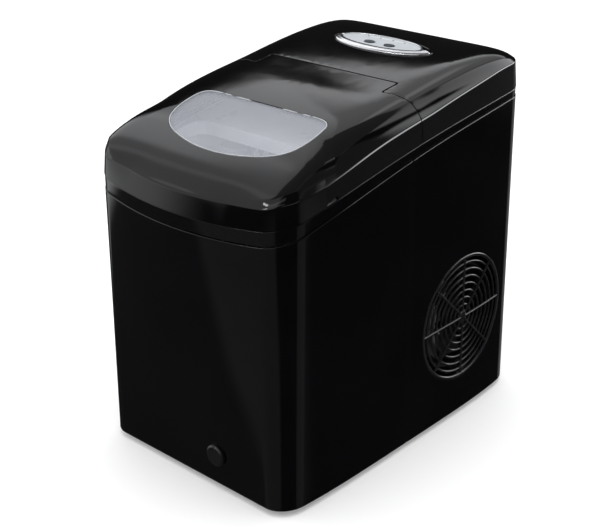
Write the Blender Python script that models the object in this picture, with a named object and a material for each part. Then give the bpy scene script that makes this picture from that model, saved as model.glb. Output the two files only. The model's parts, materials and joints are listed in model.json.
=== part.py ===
"""Countertop ice maker: black bullet-shaped housing, hinged lid with a clear window,
oval control panel on the rear deck, round fan grille on the right side, and the
tank, ice tray, basket and cooling parts inside.  Millimetres below, metres in the mesh.
X right, Y back, Z up, origin on the floor under the middle of the outer box."""
import bpy
import bmesh
from math import sin, cos, pi, radians, asin
from mathutils import Vector, Matrix

for ob in list(bpy.data.objects):
    bpy.data.objects.remove(ob, do_unlink=True)

MM = 0.001
HALF_W = 121.0        # half width of the housing
FRONT = -177.0        # foremost point of the bowed lid front
REAR = 177.0          # flat rear face
FRONT_LOW = -167.5    # flat front face at the foot
FRONT_TOP = -160.5    # front line at the corners, at the seam
BOW = 16.3            # how far the seam bows forward in the middle
SIDE_BOW = 7.0        # how far the sides draw in at front and rear
CORNER_R = 24.0
BODY_Z = 6.0          # underside of the housing, feet below
SEAM_REAR_Z = 316.5   # upper seam at the rear
SEAM_DROP = 51.5      # how much lower it runs at the front
SKIRT = 16.5          # seam to crease
WALL = 2.5
GAP = 0.3
SEAM_Y = -2.0         # split between front shell and rear shell
FAN_Y, FAN_Z, FAN_R = 82.0, 107.6, 64.0
LID_Y, LID_Z = 18.0, 335.0          # lid hinge axis
TONGUE_X, TONGUE_Y, LID_REAR_Y = 75.5, 30.5, 10.5
TRAY_Y, TRAY_Z = -14.0, 250.0       # tilting tray axis
PANEL_Y, PANEL_A, PANEL_B = 102.0, 57.0, 20.0
BUTTON_X, BUTTON_Y = 12.0, 98.5
DRAIN_X, DRAIN_Z = 35.0, 36.0

scene = bpy.context.scene


# ---------------------------------------------------------------- small helpers
def material(name, color, rough=0.4, metal=0.0, alpha=1.0):
    m = bpy.data.materials.new(name)
    m.use_nodes = True
    b = m.node_tree.nodes["Principled BSDF"]
    b.inputs["Base Color"].default_value = (*color, 1.0)
    b.inputs["Roughness"].default_value = rough
    b.inputs["Metallic"].default_value = metal
    if alpha < 1.0:
        b.inputs["Alpha"].default_value = alpha
    return m


BLACK, WHITE, GREY = (0.012, 0.012, 0.013), (0.78, 0.8, 0.8), (0.35, 0.36, 0.37)
SILVER, COPPER, DARK = (0.7, 0.7, 0.72), (0.72, 0.34, 0.2), (0.03, 0.03, 0.035)


def solid(name, verts, faces, look=(BLACK, 0.2, 0.0), smooth=35.0):
    me = bpy.data.meshes.new(name)
    me.from_pydata([(x * MM, y * MM, z * MM) for x, y, z in verts], [], faces)
    bm = bmesh.new()
    bm.from_mesh(me)
    bmesh.ops.remove_doubles(bm, verts=bm.verts, dist=1e-6)
    bmesh.ops.recalc_face_normals(bm, faces=bm.faces)
    bm.to_mesh(me)
    bm.free()
    ob = bpy.data.objects.new(name, me)
    scene.collection.objects.link(ob)
    me.materials.append(material(name, *look))
    me.shade_smooth()
    me.set_sharp_from_angle(angle=radians(smooth))
    return ob


def grid_faces(rows, cols, closed=True, start=0, flip=False):
    out = []
    for r in range(rows - 1):
        for c in range(cols if closed else cols - 1):
            a, b = start + r * cols + c, start + r * cols + (c + 1) % cols
            f = (a, b, b + cols, a + cols)
            out.append(f[::-1] if flip else f)
    return out


def prism(name, poly, lo, hi, axis="z", look=(BLACK, 0.2, 0.0)):
    """Extrude a closed outline between two stations along an axis."""
    n = len(poly)
    def put(u, v, w):
        return {"z": (u, v, w), "x": (w, u, v), "y": (u, w, v)}[axis]
    vs = [put(u, v, lo) for u, v in poly] + [put(u, v, hi) for u, v in poly]
    fs = [tuple(range(n))[::-1], tuple(range(n, 2 * n))]
    fs += [(i, (i + 1) % n, n + (i + 1) % n, n + i) for i in range(n)]
    return solid(name, vs, fs, look)


def box(name, x0, x1, y0, y1, z0, z1, look=(GREY, 0.5, 0.0), r=0.0):
    if r <= 0:
        return prism(name, [(x0, y0), (x1, y0), (x1, y1), (x0, y1)], z0, z1, "z", look)
    return prism(name, rounded(x0, x1, y0, y1, r, 4), z0, z1, "z", look)


def rounded(x0, x1, y0, y1, r, n=6):
    pts = []
    for cx, cy, a in ((x1 - r, y0 + r, -90), (x1 - r, y1 - r, 0), (x0 + r, y1 - r, 90), (x0 + r, y0 + r, 180)):
        for k in range(n + 1):
            t = radians(a + 90 * k / n)
            pts.append((cx + r * cos(t), cy + r * sin(t)))
    return pts


def ellipse(cx, cy, a, b, n=32):
    return [(cx + a * cos(2 * pi * k / n), cy + b * sin(2 * pi * k / n)) for k in range(n)]


def revolve(name, profile, centre, axis="z", seg=28, look=(GREY, 0.5, 0.0)):
    """Turn (radius, height) points about an axis; the profile closes on itself or on the axis."""
    vs, fs, rows = [], [], []
    cx, cy, cz = centre
    for r, h in profile:
        ids = []
        for k in range(1 if r <= 0 else seg):
            a = 2 * pi * k / seg
            u, v = r * cos(a), r * sin(a)
            p = {"z": (u, v, h), "x": (h, u, v), "y": (u, h, v)}[axis]
            ids.append(len(vs))
            vs.append((cx + p[0], cy + p[1], cz + p[2]))
        rows.append(ids)
    pairs = list(zip(rows, rows[1:]))
    if profile[0][0] > 0 and profile[-1][0] > 0:
        pairs.append((rows[-1], rows[0]))
    for a, b in pairs:
        for k in range(seg):
            j = (k + 1) % seg
            if len(a) == 1 and len(b) == 1:
                continue
            if len(a) == 1:
                fs.append((a[0], b[k], b[j]))
            elif len(b) == 1:
                fs.append((a[k], b[0], a[j]))
            else:
                fs.append((a[k], a[j], b[j], b[k]))
    return solid(name, vs, fs, look)


def disc(name, centre, axis, r, lo, hi, seg=24, look=(GREY, 0.5, 0.0), chamfer=0.0):
    c = chamfer
    prof = [(0, lo), (r - c, lo), (r, lo + c), (r, hi - c), (r - c, hi), (0, hi)] if c else \
        [(0, lo), (r, lo), (r, hi), (0, hi)]
    return revolve(name, prof, centre, axis, seg, look)


def pipe(name, path, r, seg=8, look=(COPPER, 0.3, 1.0)):
    """Round rod along a path, flat ends."""
    vs, fs, up = [], [], Vector((0.3, 0.2, 1.0)).normalized()
    pts = [Vector(p) for p in path]
    for i, p in enumerate(pts):
        d = (pts[min(i + 1, len(pts) - 1)] - pts[max(i - 1, 0)]).normalized()
        side = d.cross(up).normalized()
        over = side.cross(d).normalized()
        up = over
        for k in range(seg):
            a = 2 * pi * k / seg
            vs.append(tuple(p + side * (r * cos(a)) + over * (r * sin(a))))
    n = len(pts)
    fs = grid_faces(n, seg) + [tuple(range(seg))[::-1], tuple(range((n - 1) * seg, n * seg))]
    return solid(name, vs, fs, look)


def bend(points, r=8.0, n=4):
    """Round the corners of a polyline."""
    pts = [Vector(p) for p in points]
    out = [pts[0]]
    for a, b, c in zip(pts, pts[1:], pts[2:]):
        p, q = b + (a - b).normalized() * r, b + (c - b).normalized() * r
        for k in range(n + 1):
            t = k / n
            out.append(p * (1 - t) ** 2 + b * 2 * t * (1 - t) + q * t * t)
    out.append(pts[-1])
    return [tuple(p) for p in out]


def boolean(target, tool, op="DIFFERENCE"):
    m = target.modifiers.new(op.lower() + "_" + tool.name, "BOOLEAN")
    m.object, m.operation, m.solver = tool, op, "EXACT"
    tool.hide_render = True
    tool.display_type = "WIRE"
    tool.data.materials.clear()


def origin_at(ob, x, y, z):
    """Put an object's origin on its joint axis without moving the shape."""
    shift = Vector((x, y, z)) * MM
    ob.data.transform(Matrix.Translation(-shift))
    ob.location = shift


def pivot(name, x, y, z, *parts):
    """Empty on a joint axis that carries the moving parts."""
    e = bpy.data.objects.new(name, None)
    e.location = (x * MM, y * MM, z * MM)
    scene.collection.objects.link(e)
    for p in parts:
        p.parent = e
        p.matrix_parent_inverse = Matrix.Translation(e.location).inverted()
    return e


# ---------------------------------------------------------------- housing surfaces
def along(y):
    return min(max((y - FRONT) / (REAR - FRONT), 0.0), 1.0)


def seam_hi(y):
    """Upper seam: low at the front, rising and levelling to the rear."""
    return SEAM_REAR_Z - SEAM_DROP * (1 - along(y)) ** 1.65


def seam_lo(y):
    return seam_hi(y) - 7.5 - 6.5 * (1 - along(y)) ** 1.5


def ease(t):
    t = min(max(t, 0.0), 1.0)
    return t * t * (3 - 2 * t)


def crease(y):
    """Edge between skirt and dome: higher at the front corners, the sides and the rear deck."""
    side = 3.6 * ease((y + 118) / 90.0) * (1 - ease((y - 40) / 80.0))
    corner = 3.2 * ease((-y - 110) / 50.0) * (1 - ease((-y - 151) / 17.0))
    return seam_hi(y) + SKIRT + corner + side + 9.0 * ease((y - 20) / 120.0)


def outline(z, inset=0.0):
    """Plan of the housing at a height: flat front at the foot, bowed at the seam."""
    t = min(max((z - BODY_Z) / 260.0, 0.0), 1.15)
    w, f, b = HALF_W - inset, FRONT_LOW + (FRONT_TOP - FRONT_LOW) * t + inset, REAR - inset
    r = CORNER_R - inset
    raw = []
    def line(p, q, n):
        raw.extend([(p[0] + (q[0] - p[0]) * k / n, p[1] + (q[1] - p[1]) * k / n) for k in range(n)])
    def arc(cx, cy, a):
        raw.extend([(cx + r * cos(radians(a + 90 * k / 5)), cy + r * sin(radians(a + 90 * k / 5))) for k in range(5)])
    line((w, SEAM_Y), (w, b - r), 6)
    arc(w - r, b - r, 0)
    line((w - r, b), (-w + r, b), 4)
    arc(-w + r, b - r, 90)
    line((-w, b - r), (-w, SEAM_Y), 6)
    line((-w, SEAM_Y), (-w, f + r), 6)
    arc(-w + r, f + r, 180)
    line((-w + r, f), (w - r, f), 10)
    arc(w - r, f + r, 270)
    line((w, f + r), (w, SEAM_Y), 6)
    out = []
    for x, y in raw:
        px = x - (1 if x > 0 else -1) * SIDE_BOW * (abs(y) / 172.0) ** 4 * (abs(x) / w) ** 4
        py = y
        if y < 0:
            py -= BOW * t ** 1.3 * max(0.0, 1 - (x / 112.0) ** 2) * (y / f) ** 6
        out.append((px, py))
    return out


N = len(outline(100))
I_REAR_END = 26       # index of the seam vertex on the left side


def side_x(y, z=100.0):
    return HALF_W - SIDE_BOW * (abs(y) / 172.0) ** 4


def wall(name, lo, hi, d0, d1, levels=5, part="all", trim=0.0):
    """Upright wall between two height curves, between two insets."""
    ref = outline(265)
    ids = list(range(N))
    if part == "rear":
        ids = list(range(0, I_REAR_END + 1))
    elif part == "front":
        ids = list(range(I_REAR_END, N)) + [0]
    rows = {}
    for d in (d0, d1):
        rows[d] = []
        for j in range(levels + 1):
            row = []
            for i in ids:
                y = ref[i][1]
                z = lo(y) + (hi(y) - lo(y)) * j / levels
                x, yy = outline(z, d)[i]
                if part != "all" and abs(yy - SEAM_Y) < 0.01:
                    yy += trim
                row.append((x, yy, z))
            rows[d].append(row)
    n, closed = len(ids), part == "all"
    vs = [p for row in rows[d0] for p in row] + [p for row in rows[d1] for p in row]
    s = (levels + 1) * n
    fs = grid_faces(levels + 1, n, closed) + grid_faces(levels + 1, n, closed, s, True)
    last = levels * n
    for i in range(n if closed else n - 1):
        j = (i + 1) % n
        fs.append((i, s + i, s + j, j))
        fs.append((last + i, last + j, s + last + j, s + last + i))
    if not closed:
        for j in range(levels):
            a, b = j * n, (j + 1) * n
            fs.append((a, b, s + b, s + a))
            a, b = a + n - 1, b + n - 1
            fs.append((a, s + a, s + b, b))
    return solid(name, vs, fs)


TOP_LINE = ((-200, 262), (-177, 278.5), (-150, 299.0), (-118, 312.5), (-90, 322), (-60, 330.0), (-20, 336.5),
            (20, 341.0), (60, 346.5), (96, 350.5), (130, 352.5), (177, 352.0))


def centre_z(y):
    """Height of the top along the middle of the machine."""
    pts = TOP_LINE
    if y <= pts[0][0]:
        return pts[0][1]
    for (y0, z0), (y1, z1) in zip(pts, pts[1:]):
        if y <= y1:
            return z0 + (z1 - z0) * (y - y0) / (y1 - y0)
    return pts[-1][1]


def crease_ring(inset=0.0):
    ring = []
    for (x, y), (xn, yn) in zip(outline(280, 2.0 + inset), outline(280, 7.0 + inset)):
        k = min(max((-y - 90) / 70.0, 0.0), 1.0) * (1 - ease((abs(x) - 56) / 48.0))
        ring.append((x + (xn - x) * k, y + (yn - y) * k))
    return ring


MID_Y = 15.0


def fullness(y):
    """How squarely the dome stands across: gentle shoulders, square towards the nose."""
    return 12.0 + 22.0 * ease((-y - 85) / 60.0)


def top_z(x, y):
    """Height of the domed top: full in the middle, falling to the crease at the rim."""
    wide = side_x(y) - 2.0
    reach = (REAR - 2.0 - MID_Y) if y > MID_Y else (MID_Y + 172.0 - 14.0 * min(1.0, (x / 112.0) ** 2))
    u = min(abs(x) / wide, 1.0)
    v = min(abs(y - MID_Y) / reach, 1.0)
    rim = min(u ** 12.0 + v ** 18.0, 1.0)
    zc = crease(y)
    full = max(centre_z(y), zc)
    if y < MID_Y:
        nose = v ** 30.0 * (1 - ease((abs(x) - 50) / 50.0))
        return zc + (full - zc) * (1 - min(u ** fullness(y) + nose, 1.0))
    return zc + (full - zc) * (1 - rim)


def cap(name, skin=WALL, drop=0.0, rings=(0.98, 0.945, 0.89, 0.8, 0.62, 0.3)):
    """Whole lid and deck skin as one shell: skirt, crease and dome."""
    vs, fs = [], []
    surfaces = []
    for d in (0.0, skin):
        rows = []
        foot = []
        for x, y in outline(270, d):
            foot.append((x, y, seam_hi(y) + GAP))
        rows.append(foot)
        rim = crease_ring(d)
        rows.append([(x, y, crease(y) - d * 0.9) for x, y in rim])
        for f in rings if d == 0.0 else (0.95, 0.8, 0.4):
            row = []
            for x, y in rim:
                px, py = x * f, MID_Y + (y - MID_Y) * f
                row.append((px, py, top_z(px, py) - d))
            rows.append(row)
        surfaces.append(rows)
    for k, rows in enumerate(surfaces):
        start = len(vs)
        for row in rows:
            vs.extend([(x, y, z + drop) for x, y, z in row])
        fs += grid_faces(len(rows), N, True, start, k == 1)
        centre = len(vs)
        vs.append((0, MID_Y, top_z(0, MID_Y) - (skin if k else 0) + drop))
        last = start + (len(rows) - 1) * N
        for i in range(N):
            fs.append((last + i, last + (i + 1) % N, centre))
    half = (2 + len(rings)) * N + 1
    for i in range(N):
        j = (i + 1) % N
        fs.append((i, half + i, half + j, j))
    return solid(name, vs, fs)


def lid_plan(grow=0.0):
    """Plan of the lid region: wide front with a narrower tongue let into the deck."""
    g = grow
    return [(-140, -200), (140, -200), (140, LID_REAR_Y + g), (TONGUE_X + 14, LID_REAR_Y - 0.5 + g),
            (TONGUE_X + 3 + g, LID_REAR_Y - 3.0 + g), (TONGUE_X + g, LID_REAR_Y + g),
            (TONGUE_X + g, TONGUE_Y + g), (-TONGUE_X - g, TONGUE_Y + g), (-TONGUE_X - g, LID_REAR_Y + g),
            (-TONGUE_X - 3 - g, LID_REAR_Y - 3.0 + g), (-TONGUE_X - 14, LID_REAR_Y - 0.5 + g),
            (-140, LID_REAR_Y + g)]


def window_plan(inset=0.0):
    """Window: straight rear edge, short sides, bowed front edge."""
    w, back, front = 79.0 - inset, -60.0 - inset, -131.5 + inset
    pts = []
    for k in range(6):
        a = radians(90 * k / 5)
        pts.append((w - 9 + 9 * sin(a), back - 9 + 9 * cos(a)))
    for k in range(7):
        a = radians(90 * k / 6)
        pts.append((w - 14 + 14 * cos(a), -98.5 + inset - 14 * sin(a)))
    for k in range(1, 8):
        x = (w - 14) * (1 - k / 8.0)
        pts.append((x, front + (-112.5 - front + inset) * (x / (w - 14)) ** 2))
    return pts + [(0, front)] + [(-x, y) for x, y in reversed(pts)]


# ---------------------------------------------------------------- outer pieces
def build_housing():
    floor_pan()
    for tag, x, y in (("fl", -88, -135), ("fr", 88, -135), ("rl", -88, 140), ("rr", 88, 140)):
        revolve("foot_" + tag, [(0, 0), (9.5, 0), (11, 1.5), (11, BODY_Z - GAP), (0, BODY_Z - GAP)],
                (x, y, 0), "z", 20, (DARK, 0.8, 0.0))
    front = wall("front_shell", lambda y: BODY_Z, lambda y: seam_lo(y) - GAP, 0.0, WALL, 6, "front", -0.4)
    boolean(front, disc("cut_drain", (DRAIN_X, 0, DRAIN_Z), "y", 8.4, -190, -140, 24))
    rear = wall("rear_shell", lambda y: BODY_Z, lambda y: seam_lo(y) - GAP, 0.0, WALL, 6, "rear", 0.4)
    boolean(rear, disc("cut_fan", (0, FAN_Y, FAN_Z), "x", FAN_R + 0.4, 90, 140, 48))
    boolean(rear, comb("cut_inlet", -140, -100, 40, 136, 60, 150))
    boolean(rear, prism("cut_cord", rounded(52, 72, 24, 38, 5, 3), 165, 190, "y"))
    wall("top_band", lambda y: seam_lo(y) + GAP, lambda y: seam_hi(y) - GAP, 0.6, 4.0, 1)
    grille()
    cord = prism("cord_gland", rounded(52.4, 71.6, 24.4, 37.6, 4.8, 3), 172, 176.8, "y", look=(DARK, 0.7, 0.0))
    boolean(cord, disc("cut_gland", (62, 0, 31), "y", 4.2, 160, 190, 16))


def floor_pan():
    """Shallow steel pan closing the underside, with a turned-up flange."""
    o, i = outline(BODY_Z, WALL + 0.4), outline(BODY_Z, WALL + 1.6)
    n = len(o)
    vs = [(x, y, BODY_Z) for x, y in o] + [(x, y, 20) for x, y in o]
    vs += [(x, y, 20) for x, y in i] + [(x, y, BODY_Z + 1.6) for x, y in i]
    fs = grid_faces(4, n) + [tuple(range(n))[::-1], tuple(range(3 * n, 4 * n))]
    solid("base_pan", vs, fs, (GREY, 0.4, 0.9))


def comb(name, x0, x1, y0, y1, z0, z1, pitch=12.0, bar=5.0):
    """Row of upright slots joined outside the wall into one cutter."""
    poly = [(y0 - 4, x0 - 6), (y1 + 4, x0 - 6), (y1 + 4, x0)]
    y = y1
    while y - bar >= y0:
        poly += [(y, x0), (y, x1), (y - bar, x1), (y - bar, x0)]
        y -= pitch
    poly += [(y0 - 4, x0)]
    vs = [(v, u, z0) for u, v in poly] + [(v, u, z1) for u, v in poly]
    n = len(poly)
    fs = [tuple(range(n))[::-1], tuple(range(n, 2 * n))]
    fs += [(i, (i + 1) % n, n + (i + 1) % n, n + i) for i in range(n)]
    return solid(name, vs, fs)


def grille():
    """Round fan guard following the side: concentric ribs and eight spokes."""
    ribs = 7
    edges = [0.0, 7.0]
    for k in range(1, ribs + 1):
        r = 7.0 + k * 7.6
        edges += [r - 2.0, r]
    edges[-2], edges[-1] = 58.5, FAN_R
    cells, vs, grid = 3, [], []
    for r in edges[1:]:
        row = []
        for s in range(8):
            mid = pi / 4 * s
            half = asin(min(1.3 / r, 0.9))
            a0, a1 = mid - half, mid + half
            for k in range(cells):
                a = a0 if k == 0 else a1 + (2 * pi / 8 - 2 * half) * (k - 1) / (cells - 1)
                row.append((r * cos(a), r * sin(a)))
        grid.append(row)
    m, faces = 8 * cells, []
    for lift in (-0.2, -3.0):
        for row in grid:
            for u, v in row:
                vs.append((side_x(FAN_Y + u) + lift, FAN_Y + u, FAN_Z + v))
    rows, half = len(grid), len(grid) * m
    keep = set()
    for a in range(rows - 1):
        for c in range(m):
            if a % 2 == 1 or c % cells == 0:
                keep.add((a, c))
    count = {}
    for a, c in keep:
        q = (a * m + c, a * m + (c + 1) % m, (a + 1) * m + (c + 1) % m, (a + 1) * m + c)
        faces.append(q)
        faces.append(tuple(half + i for i in q[::-1]))
        for i, j in zip(q, q[1:] + q[:1]):
            count[(i, j)] = True
    hub = tuple(range(m))
    faces += [hub, tuple(half + i for i in hub[::-1])]
    for i, j in zip(hub, hub[1:] + hub[:1]):
        count[(j, i)] = True
    for i, j in list(count):
        if (j, i) not in count:
            faces.append((i, j, half + j, half + i))
    solid("fan_grille", vs, faces, (DARK, 0.35, 0.0), 30)


def build_top():
    lid = cap("lid")
    boolean(lid, prism("keep_lid", lid_plan(), 200, 400), "INTERSECT")
    boolean(lid, prism("cut_window", window_plan(), 200, 400))
    boolean(lid, notch("cut_notches"))
    deck = cap("rear_deck")
    boolean(deck, prism("cut_lid", lid_plan(1.8), 200, 400))
    boolean(deck, prism("cut_button_left", ellipse(-BUTTON_X, BUTTON_Y, 6.9, 4.4, 20), 340, 360))
    boolean(deck, prism("cut_button_right", ellipse(BUTTON_X, BUTTON_Y, 6.9, 4.4, 20), 340, 360))
    pane = cap("lid_window", 1.8, -0.5)
    pane.data.materials.clear()
    pane.data.materials.append(material("window_clear", (0.9, 0.93, 0.95), 0.05, 0.0, 0.25))
    boolean(pane, prism("keep_window", window_plan(0.35), 200, 400), "INTERSECT")
    arms = []
    for s, tag in ((-1, "left"), (1, "right")):
        arms.append(hinge_arm("lid_arm_" + tag, s * 49.0))
        hinge_bracket("hinge_bracket_" + tag, s)
    pivot("axis_lid", 0, LID_Y, LID_Z, lid, pane, *arms)
    build_panel()


def notch(name):
    """Finger notches in the lower edge of the skirt, one each side."""
    z = seam_hi(-104)
    return box(name, -140, 140, -111, -100, z - 10, z + 3.6, r=1.5)


def hinge_arm(name, x):
    """Flat ear under the lid with a bored eye round the hinge pin."""
    eye = [(2.9 * cos(radians(a)), 2.9 * sin(radians(a))) for a in range(180, 361, 20)]
    top = top_z(x, LID_Y) - WALL - 0.6 - LID_Z
    poly = [(LID_Y + u, LID_Z + v) for u, v in eye] + [(LID_Y + 2.9, LID_Z + top), (LID_Y - 14, LID_Z + top - 2.2),
                                                       (LID_Y - 14, LID_Z + top - 4.2), (LID_Y - 3.2, LID_Z - 1.2)]
    ob = prism(name, poly, x - 3, x + 3, "x", (BLACK, 0.4, 0.0))
    boolean(ob, disc("cut_" + name, (0, LID_Y, LID_Z), "x", 1.75, x - 6, x + 6, 20))
    return ob


def hinge_bracket(name, s):
    """Upright on the tank rim carrying the hinge pin."""
    x0, x1 = sorted((s * 57.0, s * 60.0))
    ob = prism(name, [(9.5, seam_lo(9.5) - 1.9), (17.5, seam_lo(17.5) - 1.9), (20.3, LID_Z - 6), (20.6, LID_Z), (LID_Y + 1, LID_Z + 2.6),
                      (LID_Y - 2.2, LID_Z + 2.2), (9.5, LID_Z - 14)], x0, x1, "x", (GREY, 0.4, 0.2))
    pin = disc("pin_" + name, (0, LID_Y, LID_Z), "x", 1.45, *sorted((s * 44.0, s * 58.5)), 20)
    boolean(ob, pin, "UNION")
    return ob


def patch(name, rings, lift0, lift1, look, hole=False):
    """Thin piece lying on the deck, following its dome: rings of outline points."""
    n, vs = len(rings[0]), []
    for lift in (lift1, lift0):
        for row in rings:
            vs += [(x, y, top_z(x, y) + lift) for x, y in row]
    m = len(rings)
    s = m * n
    fs = grid_faces(m, n) + grid_faces(m, n, True, s, True)
    fs += [(i, s + i, s + (i + 1) % n, (i + 1) % n) for i in range(n)]
    k = (m - 1) * n
    if hole:
        fs += [(k + i, k + (i + 1) % n, s + k + (i + 1) % n, s + k + i) for i in range(n)]
    else:
        fs += [tuple(range(k, k + n)), tuple(range(s + k, s + k + n))[::-1]]
    return solid(name, vs, fs, look)


def build_panel():
    shine = (SILVER, 0.2, 1.0)
    inner = ellipse(0, PANEL_Y + 2.4, PANEL_A - 8.6, PANEL_B - 5.6, 40)
    rim = ellipse(0, PANEL_Y + 2.4, PANEL_A - 7.2, PANEL_B - 4.2, 40)
    full = ellipse(0, PANEL_Y, PANEL_A, PANEL_B, 40)
    outer = [rim[k] if 0 < k < 20 else full[k] for k in range(40)]
    mid = [((a + c) / 2, (b + d) / 2) for (a, b), (c, d) in zip(outer, inner)]
    patch("panel_trim", [outer, mid, inner], GAP, 2.0, shine, True)
    rings = [ellipse(0, PANEL_Y + 2.4, (PANEL_A - 9) * f, (PANEL_B - 6) * f, 40) for f in (1, 0.7, 0.35)]
    plate = patch("panel_plate", rings, GAP, 1.5, (GREY, 0.3, 0.6))
    for s, tag in ((-1, "power"), (1, "select")):
        boolean(plate, prism("cut_plate_" + tag, ellipse(s * BUTTON_X, BUTTON_Y, 6.9, 4.4, 20), 340, 360))
        top = top_z(s * BUTTON_X, BUTTON_Y) + 2.3
        b = prism(tag + "_button", ellipse(s * BUTTON_X, BUTTON_Y, 6.5, 4.0, 20), 339.5, top, "z", (DARK, 0.3, 0.0))
        origin_at(b, s * BUTTON_X, BUTTON_Y, top)
    slot = rounded(-29, 29, 112.0, 114.6, 1.2, 3)
    boolean(plate, prism("cut_plate_lights", slot, 340, 360))
    core = rounded(-28.6, 28.6, 112.4, 114.2, 0.8, 3)
    base = top_z(0, 113) + GAP
    guide = prism("light_guide", core, base, min(top_z(28, 114), top_z(28, 112)) + 1.9, "z", (WHITE, 0.2, 0.0))
    return guide


def build_drain():
    face = FRONT_LOW + 0.3
    plug = revolve("drain_plug", [(0, face - 4.0), (9.0, face - 4.0), (10.5, face - 2.6), (10.5, face - 0.6),
                                  (5.0, face - 0.6), (5.0, face + 12), (0, face + 12)],
                   (DRAIN_X, 0, DRAIN_Z), "y", 28, (DARK, 0.5, 0.0))
    seat = revolve("drain_seal", [(5.4, face + 2.8), (8.0, face + 2.8), (8.0, face + 6), (5.4, face + 6)],
                   (DRAIN_X, 0, DRAIN_Z), "y", 24, (DARK, 0.8, 0.0))
    origin_at(plug, DRAIN_X, face, DRAIN_Z)
    pipe("drain_hose", bend([(DRAIN_X, face + 12.6, DRAIN_Z), (DRAIN_X, -124, DRAIN_Z), (DRAIN_X, -124, TANK_Z - GAP)],
                            12, 4), 6.5, 10, (WHITE, 0.5, 0.0))
    return seat


# ---------------------------------------------------------------- ice side
TANK_X, TANK_Y0, TANK_Y1, TANK_Z = 104.0, -150.0, 17.0, 96.0


def build_tank():
    out, ins = rounded(-TANK_X, TANK_X, TANK_Y0, TANK_Y1, 20), rounded(-TANK_X + 2, TANK_X - 2, TANK_Y0 + 2,
                                                                       TANK_Y1 - 2, 18)
    n = len(out)
    def rim(y):
        return seam_lo(y) - 2.4
    vs = [(x, y, TANK_Z) for x, y in out] + [(x, y, rim(y)) for x, y in out]
    vs += [(x, y, rim(y)) for x, y in ins] + [(x, y, TANK_Z + 2.5) for x, y in ins]
    tank = solid("water_tank", vs, grid_faces(4, n) + [tuple(range(n))[::-1], tuple(range(3 * n, 4 * n))],
                 (WHITE, 0.35, 0.0))
    for s in (-1, 1):
        x0, x1 = sorted((s * 97.5, s * 103))
        boolean(tank, box("ledge_%d" % s, x0, x1, -126, -64, 216, 229.6), "UNION")
    box("tank_insulation", -98, 98, -108, 12, 8.4, TANK_Z - GAP, (WHITE, 0.8, 0.0), 6)
    box("divider_wall", -108, 108, 20, 22.5, 8.4, seam_lo(20) - 3, (WHITE, 0.6, 0.0))
    inner_frame()
    basket()
    scoop()


def inner_frame():
    """Frame under the lid: a sloping rim round the basket opening, covering the ice gear behind it."""
    out = rounded(-111, 111, -156, 6, 20)
    hole = rounded(-101.6, 101.6, -147.6, -45.4, 18)
    lip = rounded(-100.2, 100.2, -146.2, -46.8, 16.6)
    n = len(out)
    def top(y):
        return seam_hi(y) + 0.5
    def low(y):
        return seam_lo(y) - 1.6
    vs = [(x, y, top(y)) for x, y in out] + [(x, y, top(y)) for x, y in lip]
    vs += [(x, y, low(y)) for x, y in lip] + [(x, y, low(y)) for x, y in hole]
    vs += [(x, y, top(y) - 2) for x, y in hole] + [(x, y, top(y) - 2) for x, y in out]
    fs = grid_faces(6, n) + [(i, 5 * n + i, 5 * n + (i + 1) % n, (i + 1) % n) for i in range(n)]
    solid("inner_frame", vs, fs, (WHITE, 0.35, 0.0))


def basket():
    """Lift-out ice basket with slotted floor and front."""
    x, y0, y1, z0, z1, t = 96.0, -142.0, -52.0, 158.0, 232.0, 1.8
    o, i = rounded(-x, x, y0, y1, 16), rounded(-x + t, x - t, y0 + t, y1 - t, 16 - t)
    lip = rounded(-x - 3, x + 3, y0 - 3, y1 + 3, 19)
    n = len(o)
    vs = [(a, b, z0) for a, b in o] + [(a, b, z1 - 2) for a, b in o] + [(a, b, z1 - 2) for a, b in lip]
    vs += [(a, b, z1) for a, b in lip] + [(a, b, z1) for a, b in i] + [(a, b, z0 + t) for a, b in i]
    ob = solid("ice_basket", vs, grid_faces(6, n) + [tuple(range(n))[::-1], tuple(range(5 * n, 6 * n))],
               (WHITE, 0.3, 0.0))
    for k in range(6):
        boolean(ob, box("cut_basket_%d" % k, -80 + 28 * k, -68 + 28 * k, -128, -66, z0 - 5, z0 + 5))
    origin_at(ob, 0, (y0 + y1) / 2, z0)


def scoop():
    """Open scoop lying in the basket, handle to the left."""
    w, t = 22.0, 1.6
    outer = [(-w, 176), (-w + 5, 165), (w - 5, 165), (w, 176)]
    inner = [(w - t, 176), (w - 5.6, 165 + t), (-w + 5.6, 165 + t), (-w + t, 176)]
    poly = [(-97 + u, v) for u, v in outer + inner]
    ob = prism("ice_scoop", poly, -30, 40, "x", (WHITE, 0.3, 0.0))
    back = prism("scoop_back", [(-97 + u, v) for u, v in outer], -30.5, -29, "x")
    grip = prism("scoop_grip", rounded(-104, -90, 166.5, 175.5, 4, 3), -78, -29.5, "x")
    boolean(ob, back, "UNION")
    boolean(ob, grip, "UNION")


def ring_arc(name, r0, r1, a0, a1, x0, x1, look, n=14, ends=False):
    """Trough section centred on the tray axis; angles from straight down, rear positive."""
    pts = []
    for k in range(n + 1):
        a = radians(a0 + (a1 - a0) * k / n)
        pts.append((TRAY_Y + r1 * sin(a), TRAY_Z - r1 * cos(a)))
    for k in range(n + 1):
        a = radians(a1 + (a0 - a1) * k / n)
        pts.append((TRAY_Y + r0 * sin(a), TRAY_Z - r0 * cos(a)))
    return prism(name, pts, x0, x1, "x", look)


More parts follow.
